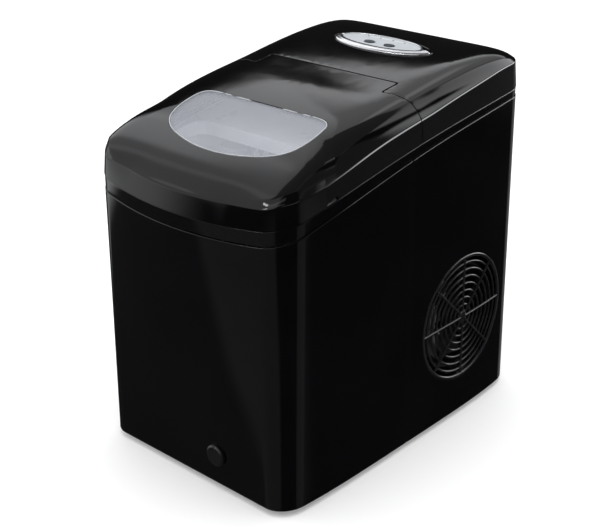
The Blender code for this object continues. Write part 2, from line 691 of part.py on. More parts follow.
def build_ice_gear():
    tray = ring_arc("water_tray", 26.0, 28.0, -62, 62, -73, 73, (WHITE, 0.35, 0.0))
    for s, tag in ((-1, "left"), (1, "right")):
        x0, x1 = sorted((s * 72.5, s * 75.0))
        cheek = [(TRAY_Y + 28 * sin(radians(a)), TRAY_Z - 28 * cos(radians(a))) for a in range(-62, 63, 4)]
        cheek += [(TRAY_Y + 7 * cos(radians(a)), TRAY_Z + 7 * sin(radians(a))) for a in range(0, 181, 20)]
        boolean(tray, prism("cheek_" + tag, cheek, x0, x1, "x"), "UNION")
        lo, hi = sorted((s * 74.0, s * 82.0))
        boolean(tray, disc("trunnion_" + tag, (0, TRAY_Y, TRAY_Z), "x", 4.0, lo, hi, 20), "UNION")
    a = radians(-54)
    c, d = Vector((sin(a), -cos(a))), Vector((cos(a), sin(a)))
    base = Vector((TRAY_Y, TRAY_Z))
    blade = [base + c * 28.4 - d, base + c * 35 - d, base + c * 35 + d, base + c * 28.4 + d]
    pusher = prism("ice_pusher", [tuple(p) for p in blade], -62, 62, "x", (WHITE, 0.4, 0.0))
    pivot("axis_tray", 0, TRAY_Y, TRAY_Z, tray, pusher)
    ring_arc("ice_chute", 37.5, 39.5, -48, 30, -70, 70, (WHITE, 0.4, 0.0), 10)
    motor = box("tray_motor", 83.5, 100.5, TRAY_Y - 16, TRAY_Y + 16, TRAY_Z - 18, TRAY_Z + 18, (DARK, 0.5, 0.0), 3)
    boolean(motor, disc("cut_motor", (0, TRAY_Y, TRAY_Z), "x", 4.5, 60, 90, 20))
    post = box("tray_bearing", -100.5, -77, TRAY_Y - 8, TRAY_Y + 8, TRAY_Z - 10, TRAY_Z + 10, (WHITE, 0.5, 0.0), 2)
    boolean(post, disc("cut_bearing", (0, TRAY_Y, TRAY_Z), "x", 4.5, -90, -60, 20))
    evaporator()
    for s, tag in ((-1, "emitter"), (1, "receiver")):
        x0, x1 = sorted((s * 99.5, s * 101.7))
        box("ice_sensor_" + tag, x0, x1, -58, -46, 238, 250, (DARK, 0.4, 0.0), 0)
    box("water_pump", -84, -50, -30, 10, 99.2, 130, (DARK, 0.5, 0.0), 6)
    pipe("pump_tube", bend([(-67, -10, 130.4), (-67, -10, 152), (-88, 4, 170), (-88, 4, 290.5),
                            (-60, -14, 290.5), (-60, -14, 284)], 5, 4), 3.6, 10, (WHITE, 0.3, 0.0))


def evaporator():
    """Cold plate over the tray with nine fingers the ice forms on."""
    plate = box("evaporator", -66, 66, TRAY_Y - 12, TRAY_Y + 12, TRAY_Z + 22, TRAY_Z + 30, (SILVER, 0.3, 1.0), 3)
    for k in range(9):
        f = revolve("finger_%d" % k, [(0, -21), (3.2, -19.5), (4.6, -15), (4.8, 24), (0, 24)],
                    (-56 + 14 * k, TRAY_Y, TRAY_Z), "z", 12)
        boolean(plate, f, "UNION")


# ---------------------------------------------------------------- cooling side
def build_cooling():
    cx, cy = -48.0, 98.0
    prof = [(0, 20), (56, 20), (56, 22.5), (47, 25), (50, 32), (50.5, 70), (50.5, 100), (47, 118),
            (38, 130), (22, 137), (0, 139)]
    revolve("compressor", prof, (cx, cy, 0), "z", 28, (DARK, 0.45, 0.2))
    for i, a in enumerate((90, 210, 330)):
        revolve("grommet_%d" % (i + 1), [(0, 8.0), (8, 8.0), (6.5, 13.5), (8, 19.7), (0, 19.7)],
                (cx + 44 * cos(radians(a)), cy + 44 * sin(radians(a)), 0), "z", 16, (DARK, 0.9, 0.0))
    box("relay_cover", cx - 20, cx + 20, 27, 46.6, 62, 100, (DARK, 0.5, 0.0), 4)
    condenser()
    c = (0, FAN_Y, FAN_Z)
    revolve("fan_shroud", [(51, 90), (59, 90), (59, 92), (53, 92), (53, 113), (51, 113)], c, "x", 32,
            (DARK, 0.5, 0.0))
    motor = disc("fan_motor", c, "x", 16, 81, 98, 20, (SILVER, 0.4, 0.6), 2)
    boolean(motor, box("motor_bracket", 79, 82, FAN_Y - 7, FAN_Y + 7, 40, 172), "UNION")
    rotor()
    disc("filter_drier", (38, 150, 0), "z", 9, 40, 96, 20, (COPPER, 0.3, 1.0), 4)
    pipe("discharge_pipe", bend([(10, 118, 70), (26, 140, 70), (26, 146, 160), (66, 146, 160), (66, 137, 150)],
                                8, 3), 2.5)
    pipe("suction_pipe", bend([(-48, 152, 90), (-48, 158, 175), (-48, 60, 190), (-48, 34, 200)], 9, 3), 3.2)
    box("hot_gas_valve", 4, 18, 34, 46, 176, 196, (COPPER, 0.3, 1.0), 3)
    disc("valve_coil", (11, 40, 0), "z", 10, 196.4, 218, 20, (DARK, 0.6, 0.0), 1)
    box("power_board", -100, -98, 40, 140, 190, 260, (DARK, 0.6, 0.0))
    box("control_board", -45, 45, 82, 122, 334, 335.6, (DARK, 0.6, 0.0), 3)


def condenser():
    """Finned block: a comb seen from the fan side."""
    y0, y1, z0, z1 = 30.0, 134.0, 34.0, 150.0
    poly = [(y0, z0), (y1, z0), (y1, z0 + 3)]
    z = z0 + 3
    while z < z1 - 5:
        poly += [(y0 + 3, z), (y0 + 3, z + 5.0), (y1, z + 5.0), (y1, z + 6.4)]
        z += 6.4
    poly += [(y0, z)]
    prism("condenser", poly, 56, 78, "x", (SILVER, 0.4, 1.0))


def rotor():
    """Seven twisted blades on a hub, turning about the fan axis."""
    hub = disc("fan_rotor", (0, FAN_Y, FAN_Z), "x", 17, 99, 111, 28, (DARK, 0.4, 0.0), 1.5)
    for k in range(7):
        rows = []
        for r in (15.0, 26.0, 37.0, 47.5):
            for (u, w) in ((-1, 0), (1, 0)):
                a = 2 * pi * k / 7 + u * 0.3 + 0.25 * (r / 47.5)
                x = 105.0 + u * (4.6 - r * 0.04)
                rows.append([(x - 0.7, FAN_Y + r * cos(a), FAN_Z + r * sin(a)),
                             (x + 0.7, FAN_Y + r * cos(a), FAN_Z + r * sin(a))])
        vs = [p for pair in rows for p in pair]
        fs = []
        for i in range(3):
            a = i * 4
            fs += [(a, a + 2, a + 6, a + 4), (a + 1, a + 5, a + 7, a + 3), (a, a + 4, a + 5, a + 1),
                   (a + 2, a + 3, a + 7, a + 6)]
        fs += [(0, 1, 3, 2), (12, 14, 15, 13)]
        boolean(hub, solid("blade_%d" % k, vs, fs), "UNION")
    origin_at(hub, 105, FAN_Y, FAN_Z)


build_housing()
build_top()
build_drain()
build_tank()
build_ice_gear()
build_cooling()
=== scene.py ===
"""Looks of the countertop ice maker: fine gloss-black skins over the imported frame, its clear
window, silver panel and wire fan guard, procedural materials, studio light and camera.
Lengths are millimetres in the code and metres in the meshes, in the frame's own axes."""
import json
from math import cos, pi, radians, sin, sqrt
import bpy
import bmesh
from mathutils import Matrix, Vector, geometry


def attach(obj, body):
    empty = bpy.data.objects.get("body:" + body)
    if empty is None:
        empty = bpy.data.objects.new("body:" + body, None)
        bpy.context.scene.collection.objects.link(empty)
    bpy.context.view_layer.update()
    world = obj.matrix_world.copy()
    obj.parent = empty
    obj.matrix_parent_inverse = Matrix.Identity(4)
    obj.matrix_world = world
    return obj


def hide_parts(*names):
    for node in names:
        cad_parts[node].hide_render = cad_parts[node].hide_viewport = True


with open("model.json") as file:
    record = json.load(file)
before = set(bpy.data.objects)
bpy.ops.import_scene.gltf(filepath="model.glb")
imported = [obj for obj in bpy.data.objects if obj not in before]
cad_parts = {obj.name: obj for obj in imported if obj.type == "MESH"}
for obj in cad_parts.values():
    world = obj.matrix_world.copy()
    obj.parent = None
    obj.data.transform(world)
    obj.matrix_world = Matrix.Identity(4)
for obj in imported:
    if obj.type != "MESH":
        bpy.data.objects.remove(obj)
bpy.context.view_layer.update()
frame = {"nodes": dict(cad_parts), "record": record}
nodes = frame["nodes"]
scene = bpy.context.scene

MM = 0.001
HALF_W, FRONT, REAR = 121.0, -177.0, 177.0
FRONT_LOW, FRONT_TOP = -167.5, -160.5   # front face at the foot, front corners at the seam
BOW, BOW_X = 16.3, 112.0                # how far the front bows out, and the half width that it bows over
SIDE_BOW, SIDE_REACH = 7.0, 172.0       # how far the sides draw in, full at this distance along Y
CORNER_R = 24.0
BODY_Z, BODY_H = 6.0, 260.0             # foot of the shells, and the height over which the front leans
SEAM_REAR_Z, SEAM_DROP, SKIRT = 316.5, 51.5, 16.5   # upper seam at the rear, its fall, skirt above it
WALL, GAP = 2.5, 0.3                    # wall of the shells and the lid, half the seams' width
BAND_WALL, BAND_INSET = 3.2, 0.5        # trim band: wall, and how far it is set in from the shells
STATION_STEP = 2.2                      # least distance between a wall's stations: leaves the edges room
SHELL_EDGE, TOP_EDGE = 0.9, 0.5         # rounding of the shells' edges and of the lid's and deck's
CREASE_R = 1.5                          # fillet between skirt and dome
SEAM_Y, MID_Y = -2.0, 15.0              # joint between the shells, middle of the dome
SEAM_GAP = 0.45                         # half the joint's width
FAN_Y, FAN_Z, FAN_R = 82.0, 107.6, 64.0
TONGUE_X, TONGUE_Y, LID_REAR_Y = 75.5, 30.5, 10.5
PANEL_Y, PANEL_A, PANEL_B = 102.0, 57.0, 20.0
PLATE_X, PLATE_Y, PLATE_A, PLATE_B = -2.0, 103.9, 46.4, 13.2
LIGHTS_X0, LIGHTS_X1, LIGHTS_Y, LIGHTS_H = -27.0, 23.0, 111.9, 1.2   # slot for the lights, half its width
BUTTON_X, BUTTON_Y = 12.0, 98.5
KEY_A, KEY_B = 6.1, 3.5                 # buttons, with the wells in the plate and the holes in the deck
WELL_A, WELL_B = 6.6, 4.0
HOLE_A, HOLE_B = 6.9, 4.4
DRAIN_X, DRAIN_Z, DRAIN_R = 35.0, 36.0, 8.4
NOTCH_Y0, NOTCH_Y1, NOTCH_H = -111.0, -100.0, 3.4   # finger notches in the lid's skirt
SLOT_Y0, SLOT_Y1, SLOT_W, SLOT_PITCH = 40.0, 136.0, 5.0, 12.0   # air slots in the left side
SLOT_Z0, SLOT_Z1 = 60.0, 150.0
CORD_X0, CORD_X1, CORD_Z0, CORD_Z1 = 52.0, 72.0, 24.0, 38.0     # opening for the cord gland at the rear
WINDOW_X = 3.0
TOP_LINE = ((-200, 262), (-177, 278.5), (-150, 299.0), (-118, 312.5), (-90, 322), (-60, 330.0),
            (-20, 336.5), (20, 341.0), (60, 346.5), (96, 350.5), (130, 352.5), (177, 352.0))


# ---------------------------------------------------------------- node materials
class Mat:
    """A Principled material with object-space noise for colour, roughness and bump."""

    def __init__(self, name):
        self.m = bpy.data.materials.new(name)
        self.m.use_nodes = True
        self.tree = self.m.node_tree
        self.bsdf = self.tree.nodes["Principled BSDF"]
        self.place = self.node("ShaderNodeTexCoord").outputs["Object"]

    def node(self, kind, **values):
        """New shader node with some of its settings."""
        n = self.tree.nodes.new(kind)
        for key, value in values.items():
            setattr(n, key, value)
        return n

    def link(self, a, b):
        self.tree.links.new(a, b)

    def put(self, **sockets):
        """Constants on the shader's own sockets; an underscore stands for a space."""
        for key, value in sockets.items():
            self.bsdf.inputs[key.replace("_", " ")].default_value = value
        return self

    def stretched(self, scale):
        """Object coordinates scaled differently along X, Y and Z."""
        n = self.node("ShaderNodeMapping")
        n.inputs["Scale"].default_value = scale
        self.link(self.place, n.inputs["Vector"])
        return n.outputs["Vector"]

    def noise(self, scale, detail=3.0, place=None):
        """Noise over the object's coordinates."""
        n = self.node("ShaderNodeTexNoise")
        n.inputs["Scale"].default_value = scale
        n.inputs["Detail"].default_value = detail
        n.inputs["Roughness"].default_value = 0.55
        self.link(place or self.place, n.inputs["Vector"])
        return n.outputs["Fac"]

    def ramp(self, value, stops):
        """Colour read off a value."""
        n = self.node("ShaderNodeValToRGB")
        band = n.color_ramp
        while len(band.elements) < len(stops):
            band.elements.new(0.5)
        for e, (at, colour) in zip(band.elements, stops):
            e.position = at
            e.color = (*colour, 1.0)
        self.link(value, n.inputs["Fac"])
        return n.outputs["Color"]

    def span(self, value, lo, hi):
        """A noise value's middle range, 0.3 to 0.7, spread over lo to hi."""
        n = self.node("ShaderNodeMapRange")
        n.inputs["From Min"].default_value = 0.3
        n.inputs["From Max"].default_value = 0.7
        n.inputs["To Min"].default_value = lo
        n.inputs["To Max"].default_value = hi
        self.link(value, n.inputs["Value"])
        return n.outputs["Result"]

    def colour(self, dark, light, scale, detail=3.0, place=None):
        """Base colour drifting between two close colours."""
        c = self.ramp(self.noise(scale, detail, place=place), ((0.32, dark), (0.68, light)))
        self.link(c, self.bsdf.inputs["Base Color"])
        return self

    def rough(self, lo, hi, scale, detail=4.0, place=None):
        """Roughness drifting between two values."""
        self.link(self.span(self.noise(scale, detail, place=place), lo, hi), self.bsdf.inputs["Roughness"])
        return self

    def bump(self, scale, depth, detail=3.0, place=None):
        """Bump of a real depth in millimetres."""
        n = self.node("ShaderNodeBump")
        n.inputs["Strength"].default_value = 1.0
        n.inputs["Distance"].default_value = depth * MM
        self.link(self.noise(scale, detail, place=place), n.inputs["Height"])
        self.link(n.outputs["Normal"], self.bsdf.inputs["Normal"])
        return self


def gloss(name, dark, light, rough=(0.045, 0.085), ior=1.46):
    """High-gloss moulded plastic: deep colour, faint moulding waviness and handling haze."""
    mat = Mat(name).colour(dark, light, 14.0).rough(*rough, 22.0, 6.0).bump(18.0, 0.02, 2.0)
    return mat.put(IOR=ior).m


def satin(name, dark, light, rough=(0.38, 0.5), grain=0.03, scale=1500.0):
    """Satin or textured plastic with a fine spark-eroded grain."""
    mat = Mat(name).colour(dark, light, 30.0).rough(*rough, 60.0).bump(scale, grain, 2.0)
    return mat.put(IOR=1.46).m


def metal(name, dark, light, rough=(0.2, 0.34), streaks=(1.0, 1.0, 1.0), scale=90.0):
    """Metal with drawn or rolled streaks along one direction."""
    mat = Mat(name)
    run = mat.stretched(streaks)
    mat.colour(dark, light, scale, 5.0, run).rough(*rough, scale * 1.6, 5.0, run)
    return mat.bump(scale * 3, 0.01, 3.0, run).put(Metallic=1.0).m


def clear(name, tint, alpha):
    """Clear moulded plastic with a tint."""
    mat = Mat(name).colour(tint, tuple(min(1.0, c * 1.06) for c in tint), 12.0).rough(0.03, 0.07, 25.0)
    return mat.put(Alpha=alpha, IOR=1.49).m


def foam(name, dark, light):
    """Closed-cell insulation with visible beads."""
    mat = Mat(name).colour(dark, light, 220.0, 2.0).rough(0.8, 0.95, 90.0)
    cells = mat.node("ShaderNodeTexVoronoi")
    cells.inputs["Scale"].default_value = 320.0
    mat.link(mat.place, cells.inputs["Vector"])
    n = mat.node("ShaderNodeBump")
    n.inputs["Distance"].default_value = 0.4 * MM
    mat.link(cells.outputs["Distance"], n.inputs["Height"])
    mat.link(n.outputs["Normal"], mat.bsdf.inputs["Normal"])
    return mat.m


def board(name):
    """Green solder-masked circuit board with pale copper pads and tracks under the mask."""
    mat = Mat(name)
    tracks = mat.node("ShaderNodeTexBrick")
    tracks.inputs["Scale"].default_value = 160.0
    tracks.inputs["Mortar Size"].default_value = 0.03
    tracks.inputs["Color1"].default_value = (0.012, 0.12, 0.045, 1)
    tracks.inputs["Color2"].default_value = (0.01, 0.095, 0.035, 1)
    tracks.inputs["Mortar"].default_value = (0.03, 0.22, 0.09, 1)
    mat.link(mat.place, tracks.inputs["Vector"])
    mat.link(tracks.outputs["Color"], mat.bsdf.inputs["Base Color"])
    return mat.rough(0.28, 0.42, 80.0).bump(400.0, 0.05).m


def make_looks():
    """One material for each of the record's material slots."""
    looks = {
        "housing_black": gloss("gloss_black", (0.0008, 0.0008, 0.0011), (0.0016, 0.0016, 0.002)),
        "band_black": gloss("band_gloss", (0.001, 0.001, 0.0014), (0.0018, 0.0018, 0.0022), (0.06, 0.1)),
        "window_clear": clear("window_plastic", (0.84, 0.87, 0.99), 0.17),
        "panel_silver": metal("trim_silver", (0.78, 0.79, 0.81), (0.9, 0.9, 0.92), (0.12, 0.2)),
        "panel_grey": satin("panel_lacquer", (0.42, 0.45, 0.48), (0.47, 0.5, 0.53), (0.28, 0.36), 0.01),
        "button_dark": satin("button_plastic", (0.035, 0.045, 0.055), (0.05, 0.06, 0.07), (0.3, 0.42), 0.015),
        # frosted strip for the lights; the same pale finish paints the highlight tube round the window
        "light_clear": satin("frosted_light_and_painted_highlight", (0.5, 0.53, 0.55), (0.58, 0.61, 0.63), (0.3, 0.4), 0.01),
        "grille_dark": gloss("grille_black", (0.004, 0.004, 0.005), (0.007, 0.007, 0.008), (0.2, 0.3), 1.4),
        "rubber_dark": satin("soft_rubber", (0.012, 0.012, 0.012), (0.022, 0.022, 0.022), (0.7, 0.85), 0.06,
                             700.0),
        "liner_white": satin("liner_plastic", (0.72, 0.73, 0.76), (0.8, 0.81, 0.84), (0.25, 0.38), 0.02,
                             900.0),
        "foam_white": foam("insulation_foam", (0.72, 0.72, 0.69), (0.86, 0.86, 0.83)),
        "frosted_plastic": frosted("frosted_plastic"),
        "steel_sheet": metal("galvanised_sheet", (0.42, 0.43, 0.44), (0.6, 0.61, 0.62), (0.32, 0.5),
                             scale=60.0),
        "evaporator_metal": metal("nickel_fingers", (0.62, 0.6, 0.56), (0.78, 0.76, 0.72), (0.14, 0.26),
                                  (1, 1, 0.15)),
        "compressor_black": satin("baked_enamel", (0.008, 0.008, 0.008), (0.018, 0.018, 0.019), (0.32, 0.45),
                                  0.12, 420.0),
        "copper": metal("drawn_copper", (0.58, 0.22, 0.11), (0.8, 0.38, 0.22), (0.2, 0.38), scale=70.0),
        "fins": fins("aluminium_fins"),
        "board_green": board("circuit_board"),
        "dark_plastic": satin("dark_moulding", (0.0035, 0.0035, 0.004), (0.006, 0.006, 0.007), (0.24, 0.36),
                              0.03, 800.0),
    }
    for key, m in looks.items():
        m["slot"] = key
    return looks


def frosted(name):
    """Milky polypropylene with a little light passing through."""
    mat = Mat(name).colour((0.70, 0.72, 0.76), (0.80, 0.82, 0.86), 25.0)
    mat.rough(0.3, 0.45, 40.0).bump(600.0, 0.03)
    return mat.put(Subsurface_Weight=0.15, Subsurface_Radius=(0.01, 0.01, 0.012), IOR=1.49).m


def fins(name):
    """Stack of thin aluminium fins, with painted shade in the dark bands between their edges."""
    mat = Mat(name)
    wave = mat.node("ShaderNodeTexWave", wave_type="BANDS", bands_direction="X")
    wave.inputs["Scale"].default_value = 105.0
    mat.link(mat.place, wave.inputs["Vector"])
    # dark ramp stop: painted shade in the gaps between the fins; light stop: the fins' edges
    mat.link(mat.ramp(wave.outputs["Fac"], ((0.3, (0.16, 0.16, 0.17)), (0.6, (0.72, 0.73, 0.74)))),
             mat.bsdf.inputs["Base Color"])
    n = mat.node("ShaderNodeBump")
    n.inputs["Distance"].default_value = 0.5 * MM
    mat.link(wave.outputs["Fac"], n.inputs["Height"])
    mat.link(n.outputs["Normal"], mat.bsdf.inputs["Normal"])
    return mat.rough(0.3, 0.45, 60.0).put(Metallic=1.0).m


LOOKS = make_looks()


# ---------------------------------------------------------------- mesh helpers
def ease(t):
    """Smooth step from 0 to 1, held flat outside."""
    t = min(max(t, 0.0), 1.0)
    return t * t * (3 - 2 * t)


def make(name, verts, faces, look, body="housing", stands_for=(), smooth=180.0):
    """Mesh object in millimetres that rides on a body and takes a material slot's finish."""
    me = bpy.data.meshes.new(name)
    me.from_pydata([(x * MM, y * MM, z * MM) for x, y, z in verts], [], faces)
    bm = bmesh.new()
    bm.from_mesh(me)
    bmesh.ops.remove_doubles(bm, verts=bm.verts, dist=2e-6)
    bmesh.ops.recalc_face_normals(bm, faces=bm.faces)
    bm.to_mesh(me)
    bm.free()
    me.shade_smooth()
    if smooth < 180.0:
        me.set_sharp_from_angle(angle=radians(smooth))
    ob = bpy.data.objects.new(name, me)
    scene.collection.objects.link(ob)
    me.materials.append(LOOKS[look])
    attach(ob, body)
    if stands_for:
        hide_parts(*stands_for)
    return ob


def grid_faces(rows, cols, closed=True):
    """Quads between rows of points, each row a loop or an open line."""
    out = []
    for r in range(rows - 1):
        for c in range(cols if closed else cols - 1):
            a, b = r * cols + c, r * cols + (c + 1) % cols
            out.append((a, b, b + cols, a + cols))
    return out


def ring_faces(rows, cols):
    """The same quads round closed rows, with the last row joined back to the first."""
    last = (rows - 1) * cols
    fs = grid_faces(rows, cols)
    return fs + [(last + i, last + (i + 1) % cols, (i + 1) % cols, i) for i in range(cols)]


def peak_faces(rows, cols):
    """The same quads round closed rows, with the last row drawn together in one more point."""
    last, peak = (rows - 1) * cols, rows * cols
    return grid_faces(rows, cols) + [(last + i, last + (i + 1) % cols, peak) for i in range(cols)]


def round_edges(ob, name, edge, segments, angle):
    """Bevel on the edges that turn by more than an angle."""
    b = ob.modifiers.new(name, "BEVEL")
    b.width, b.segments, b.limit_method = edge * MM, segments, "ANGLE"
    b.angle_limit = radians(angle)
    b.use_clamp_overlap = True


def soften(ob, edge, segments, angle=40.0):
    """Rounded edges, with normals that keep the flat faces flat."""
    round_edges(ob, "edges", edge, segments, angle)
    w = ob.modifiers.new("shading", "WEIGHTED_NORMAL")
    w.keep_sharp = True


def thicken(ob, thickness, edge, segments=3):
    """Give an open skin its wall and soften its edges."""
    s = ob.modifiers.new("wall", "SOLIDIFY")
    s.thickness, s.offset = thickness * MM, -1.0
    s.use_even_offset = True
    s.thickness_clamp = 1.0
    soften(ob, edge, segments)


def soften_cuts(ob):
    """Second, finer rounding for the edges of openings cut after the first."""
    round_edges(ob, "cut_edges", 0.3, 2, 40.0)
    ob.modifiers.move(len(ob.modifiers) - 1, len(ob.modifiers) - 2)


def cutter(name, verts, faces):
    """Hidden closed shape that cuts an opening."""
    me = bpy.data.meshes.new(name)
    me.from_pydata([(x * MM, y * MM, z * MM) for x, y, z in verts], [], faces)
    bm = bmesh.new()
    bm.from_mesh(me)
    bmesh.ops.recalc_face_normals(bm, faces=bm.faces)
    bm.to_mesh(me)
    bm.free()
    ob = bpy.data.objects.new(name, me)
    scene.collection.objects.link(ob)
    ob.hide_render = True
    ob.hide_viewport = True
    return ob


def prism_data(poly, lo, hi, axis):
    """Vertices and faces of an outline drawn out from lo to hi along X or Y."""
    n = len(poly)
    def put(u, v, w):
        return (w, u, v) if axis == "x" else (u, w, v)
    vs = [put(u, v, lo) for u, v in poly] + [put(u, v, hi) for u, v in poly]
    fs = [tuple(range(n))[::-1], tuple(range(n, 2 * n))]
    return vs, fs + [(i, (i + 1) % n, n + (i + 1) % n, n + i) for i in range(n)]


def cut(ob, tool):
    """Opening made after the wall and its first rounding, before the shading step."""
    m = ob.modifiers.new("cut_" + tool.name, "BOOLEAN")
    m.object, m.operation, m.solver = tool, "DIFFERENCE", "EXACT"
    ob.modifiers.move(len(ob.modifiers) - 1, 2)


def ellipse(cx, cy, a, b, n):
    """Outline of an ellipse from its half axes."""
    return [(cx + a * cos(2 * pi * k / n), cy + b * sin(2 * pi * k / n)) for k in range(n)]


def circle(cx, cy, r, n=48):
    """Outline of a circle."""
    return ellipse(cx, cy, r, r, n)


def rounded(x0, x1, y0, y1, r, n):
    """Rectangle with round corners of n steps each."""
    pts = []
    corners = ((x1 - r, y0 + r, -90), (x1 - r, y1 - r, 0), (x0 + r, y1 - r, 90), (x0 + r, y0 + r, 180))
    for cx, cy, a in corners:
        for k in range(n + 1):
            t = radians(a + 90 * k / n)
            pts.append((cx + r * cos(t), cy + r * sin(t)))
    return pts


# ---------------------------------------------------------------- housing surfaces
def along(y):
    """Share of the depth, from the front, 0, to the rear, 1."""
    return min(max((y - FRONT) / (REAR - FRONT), 0.0), 1.0)


def seam_hi(y):
    """Seam between the trim band and the top, falling towards the front."""
    return SEAM_REAR_Z - SEAM_DROP * (1 - along(y)) ** 1.65


def seam_lo(y):
    """Seam between the shells and the trim band, which is wider at the front."""
    return seam_hi(y) - 7.5 - 6.5 * (1 - along(y)) ** 1.5


def crease(y):
    """Edge between skirt and dome: higher at the front corners, the sides and the rear deck."""
    side = 3.6 * ease((y + 118) / 90.0) * (1 - ease((y - 40) / 80.0))
    corner = 3.2 * ease((-y - 110) / 50.0) * (1 - ease((-y - 151) / 17.0))
    return seam_hi(y) + SKIRT + corner + side + 9.0 * ease((y - 20) / 120.0)


def side_stations():
    """Places along the side, front half: even steps with the notch ends and the seam kept."""
    ys = [-128, -122, -116, NOTCH_Y0 - 1.2, NOTCH_Y0 - 0.4, NOTCH_Y1 + 0.4, NOTCH_Y1 + 1.2]
    ys += [NOTCH_Y1 + 5 + 6 * k for k in range(15)] + [-5.0]
    return sorted(ys)


SIDE_FRONT = side_stations()
SIDE_REAR = [1.0, 4.0, 7.0, LID_REAR_Y, LID_REAR_Y + 0.8, 15.0] + [21 + 6.6 * k for k in range(20)]
CORNER_N, REAR_N, FRONT_N = 16, 16, 44   # steps round a corner and across the rear and the front


def outline(z, inset=0.0):
    """Plan of the housing at a height: flat front at the foot, bowed at the seam."""
    t = min(max((z - BODY_Z) / BODY_H, 0.0), 1.15)
    w, f, b = HALF_W - inset, FRONT_LOW + (FRONT_TOP - FRONT_LOW) * t + inset, REAR - inset
    r = CORNER_R - inset
    raw = [(w, SEAM_Y)] + [(w, y) for y in SIDE_REAR]
    def arc(cx, cy, a):
        for k in range(CORNER_N + 1):
            u = radians(a + 90 * k / CORNER_N)
            raw.append((cx + r * cos(u), cy + r * sin(u)))
    arc(w - r, b - r, 0)
    raw += [((w - r) * (1 - k * 2 / REAR_N), b) for k in range(1, REAR_N)]
    arc(-w + r, b - r, 90)
    raw += [(-w, y) for y in reversed(SIDE_REAR)] + [(-w, SEAM_Y)]
    raw += [(-w, y) for y in reversed(SIDE_FRONT)]
    arc(-w + r, f + r, 180)
    raw += [((-w + r) * (1 - k * 2 / FRONT_N), f) for k in range(1, FRONT_N)]
    arc(w - r, f + r, 270)
    raw += [(w, y) for y in SIDE_FRONT]
    out = []
    for x, y in raw:
        px = x - (1 if x > 0 else -1) * SIDE_BOW * (abs(y) / SIDE_REACH) ** 4 * (abs(x) / w) ** 4
        py = y
        if y < 0:
            py -= BOW * t ** 1.3 * max(0.0, 1 - (x / BOW_X) ** 2) * (y / f) ** 6
        out.append((px, py))
    return out


# Stations on the outline, counted from the seam on the right, round the rear.
N = len(outline(100))
LEFT_SEAM = 2 * (len(SIDE_REAR) + CORNER_N + 1) + REAR_N
RIGHT_LID = 1 + SIDE_REAR.index(LID_REAR_Y)
LEFT_LID = LEFT_SEAM - RIGHT_LID
RIGHT_DECK = RIGHT_LID + 1
LEFT_DECK = LEFT_LID - 1


def side_x(y):
    """Half width of the housing, drawn in towards the front and the rear."""
    return HALF_W - SIDE_BOW * (abs(y) / SIDE_REACH) ** 4


def line_z(y):
    """Height on the straight pieces of the top line."""
    pts = TOP_LINE
    if y <= pts[0][0]:
        return pts[0][1]
    for (y0, z0), (y1, z1) in zip(pts, pts[1:]):
        if y <= y1:
            return z0 + (z1 - z0) * (y - y0) / (y1 - y0)
    return pts[-1][1]


def centre_z(y):
    """Top line along the middle, smoothed between its stations."""
    reach = 22.0
    steps = [reach * (k / 6.0) for k in range(-6, 7)]
    weights = [1 - abs(s) / (reach * 1.17) for s in steps]
    return sum(line_z(y + s) * w for s, w in zip(steps, weights)) / sum(weights)


def crease_ring():
    """Plan of the crease: near the outline, drawn in further along the nose."""
    ring = []
    for (x, y), (xn, yn) in zip(outline(280, 2.0), outline(280, 7.0)):
        k = min(max((-y - 90) / 70.0, 0.0), 1.0) * (1 - ease((abs(x) - 56) / 48.0))
        ring.append((x + (xn - x) * k, y + (yn - y) * k))
    return ring


def fullness(y):
    """How squarely the dome stands across: gentle shoulders, square towards the nose."""
    return 12.0 + 22.0 * ease((-y - 85) / 60.0)


def top_z(x, y):
    """Height of the domed top: full in the middle, falling to the crease at the rim."""
    wide = side_x(y) - 2.0
    behind = y > MID_Y
    reach = REAR - 2.0 - MID_Y if behind else MID_Y + 172.0 - 14.0 * min(1.0, (x / BOW_X) ** 2)
    u = min(abs(x) / wide, 1.0)
    v = min(abs(y - MID_Y) / reach, 1.0)
    zc = crease(y)
    full = max(centre_z(y), zc)
    rim = u ** fullness(y) + (v ** 18.0 if behind else v ** 30.0 * (1 - ease((abs(x) - 50) / 50.0)))
    return zc + (full - zc) * (1 - min(rim, 1.0))


def on_dome(plan, lift):
    """Points of a plan at a lift above the domed top."""
    return [(x, y, top_z(x, y) + lift) for x, y in plan]


def inside(x, y, poly):
    """Whether a point lies in a closed outline."""
    hit = False
    n = len(poly)
    for i in range(n):
        x0, y0 = poly[i]
        x1, y1 = poly[(i + 1) % n]
        if (y0 > y) != (y1 > y) and x < (x1 - x0) * (y - y0) / (y1 - y0) + x0:
            hit = not hit
    return hit


def gap_to(x, y, poly):
    """Distance from a point to a closed outline."""
    best = 1e9
    n = len(poly)
    for i in range(n):
        x0, y0 = poly[i]
        x1, y1 = poly[(i + 1) % n]
        dx, dy = x1 - x0, y1 - y0
        t = min(max(((x - x0) * dx + (y - y0) * dy) / max(dx * dx + dy * dy, 1e-9), 0.0), 1.0)
        best = min(best, (x - x0 - dx * t) ** 2 + (y - y0 - dy * t) ** 2)
    return sqrt(best)


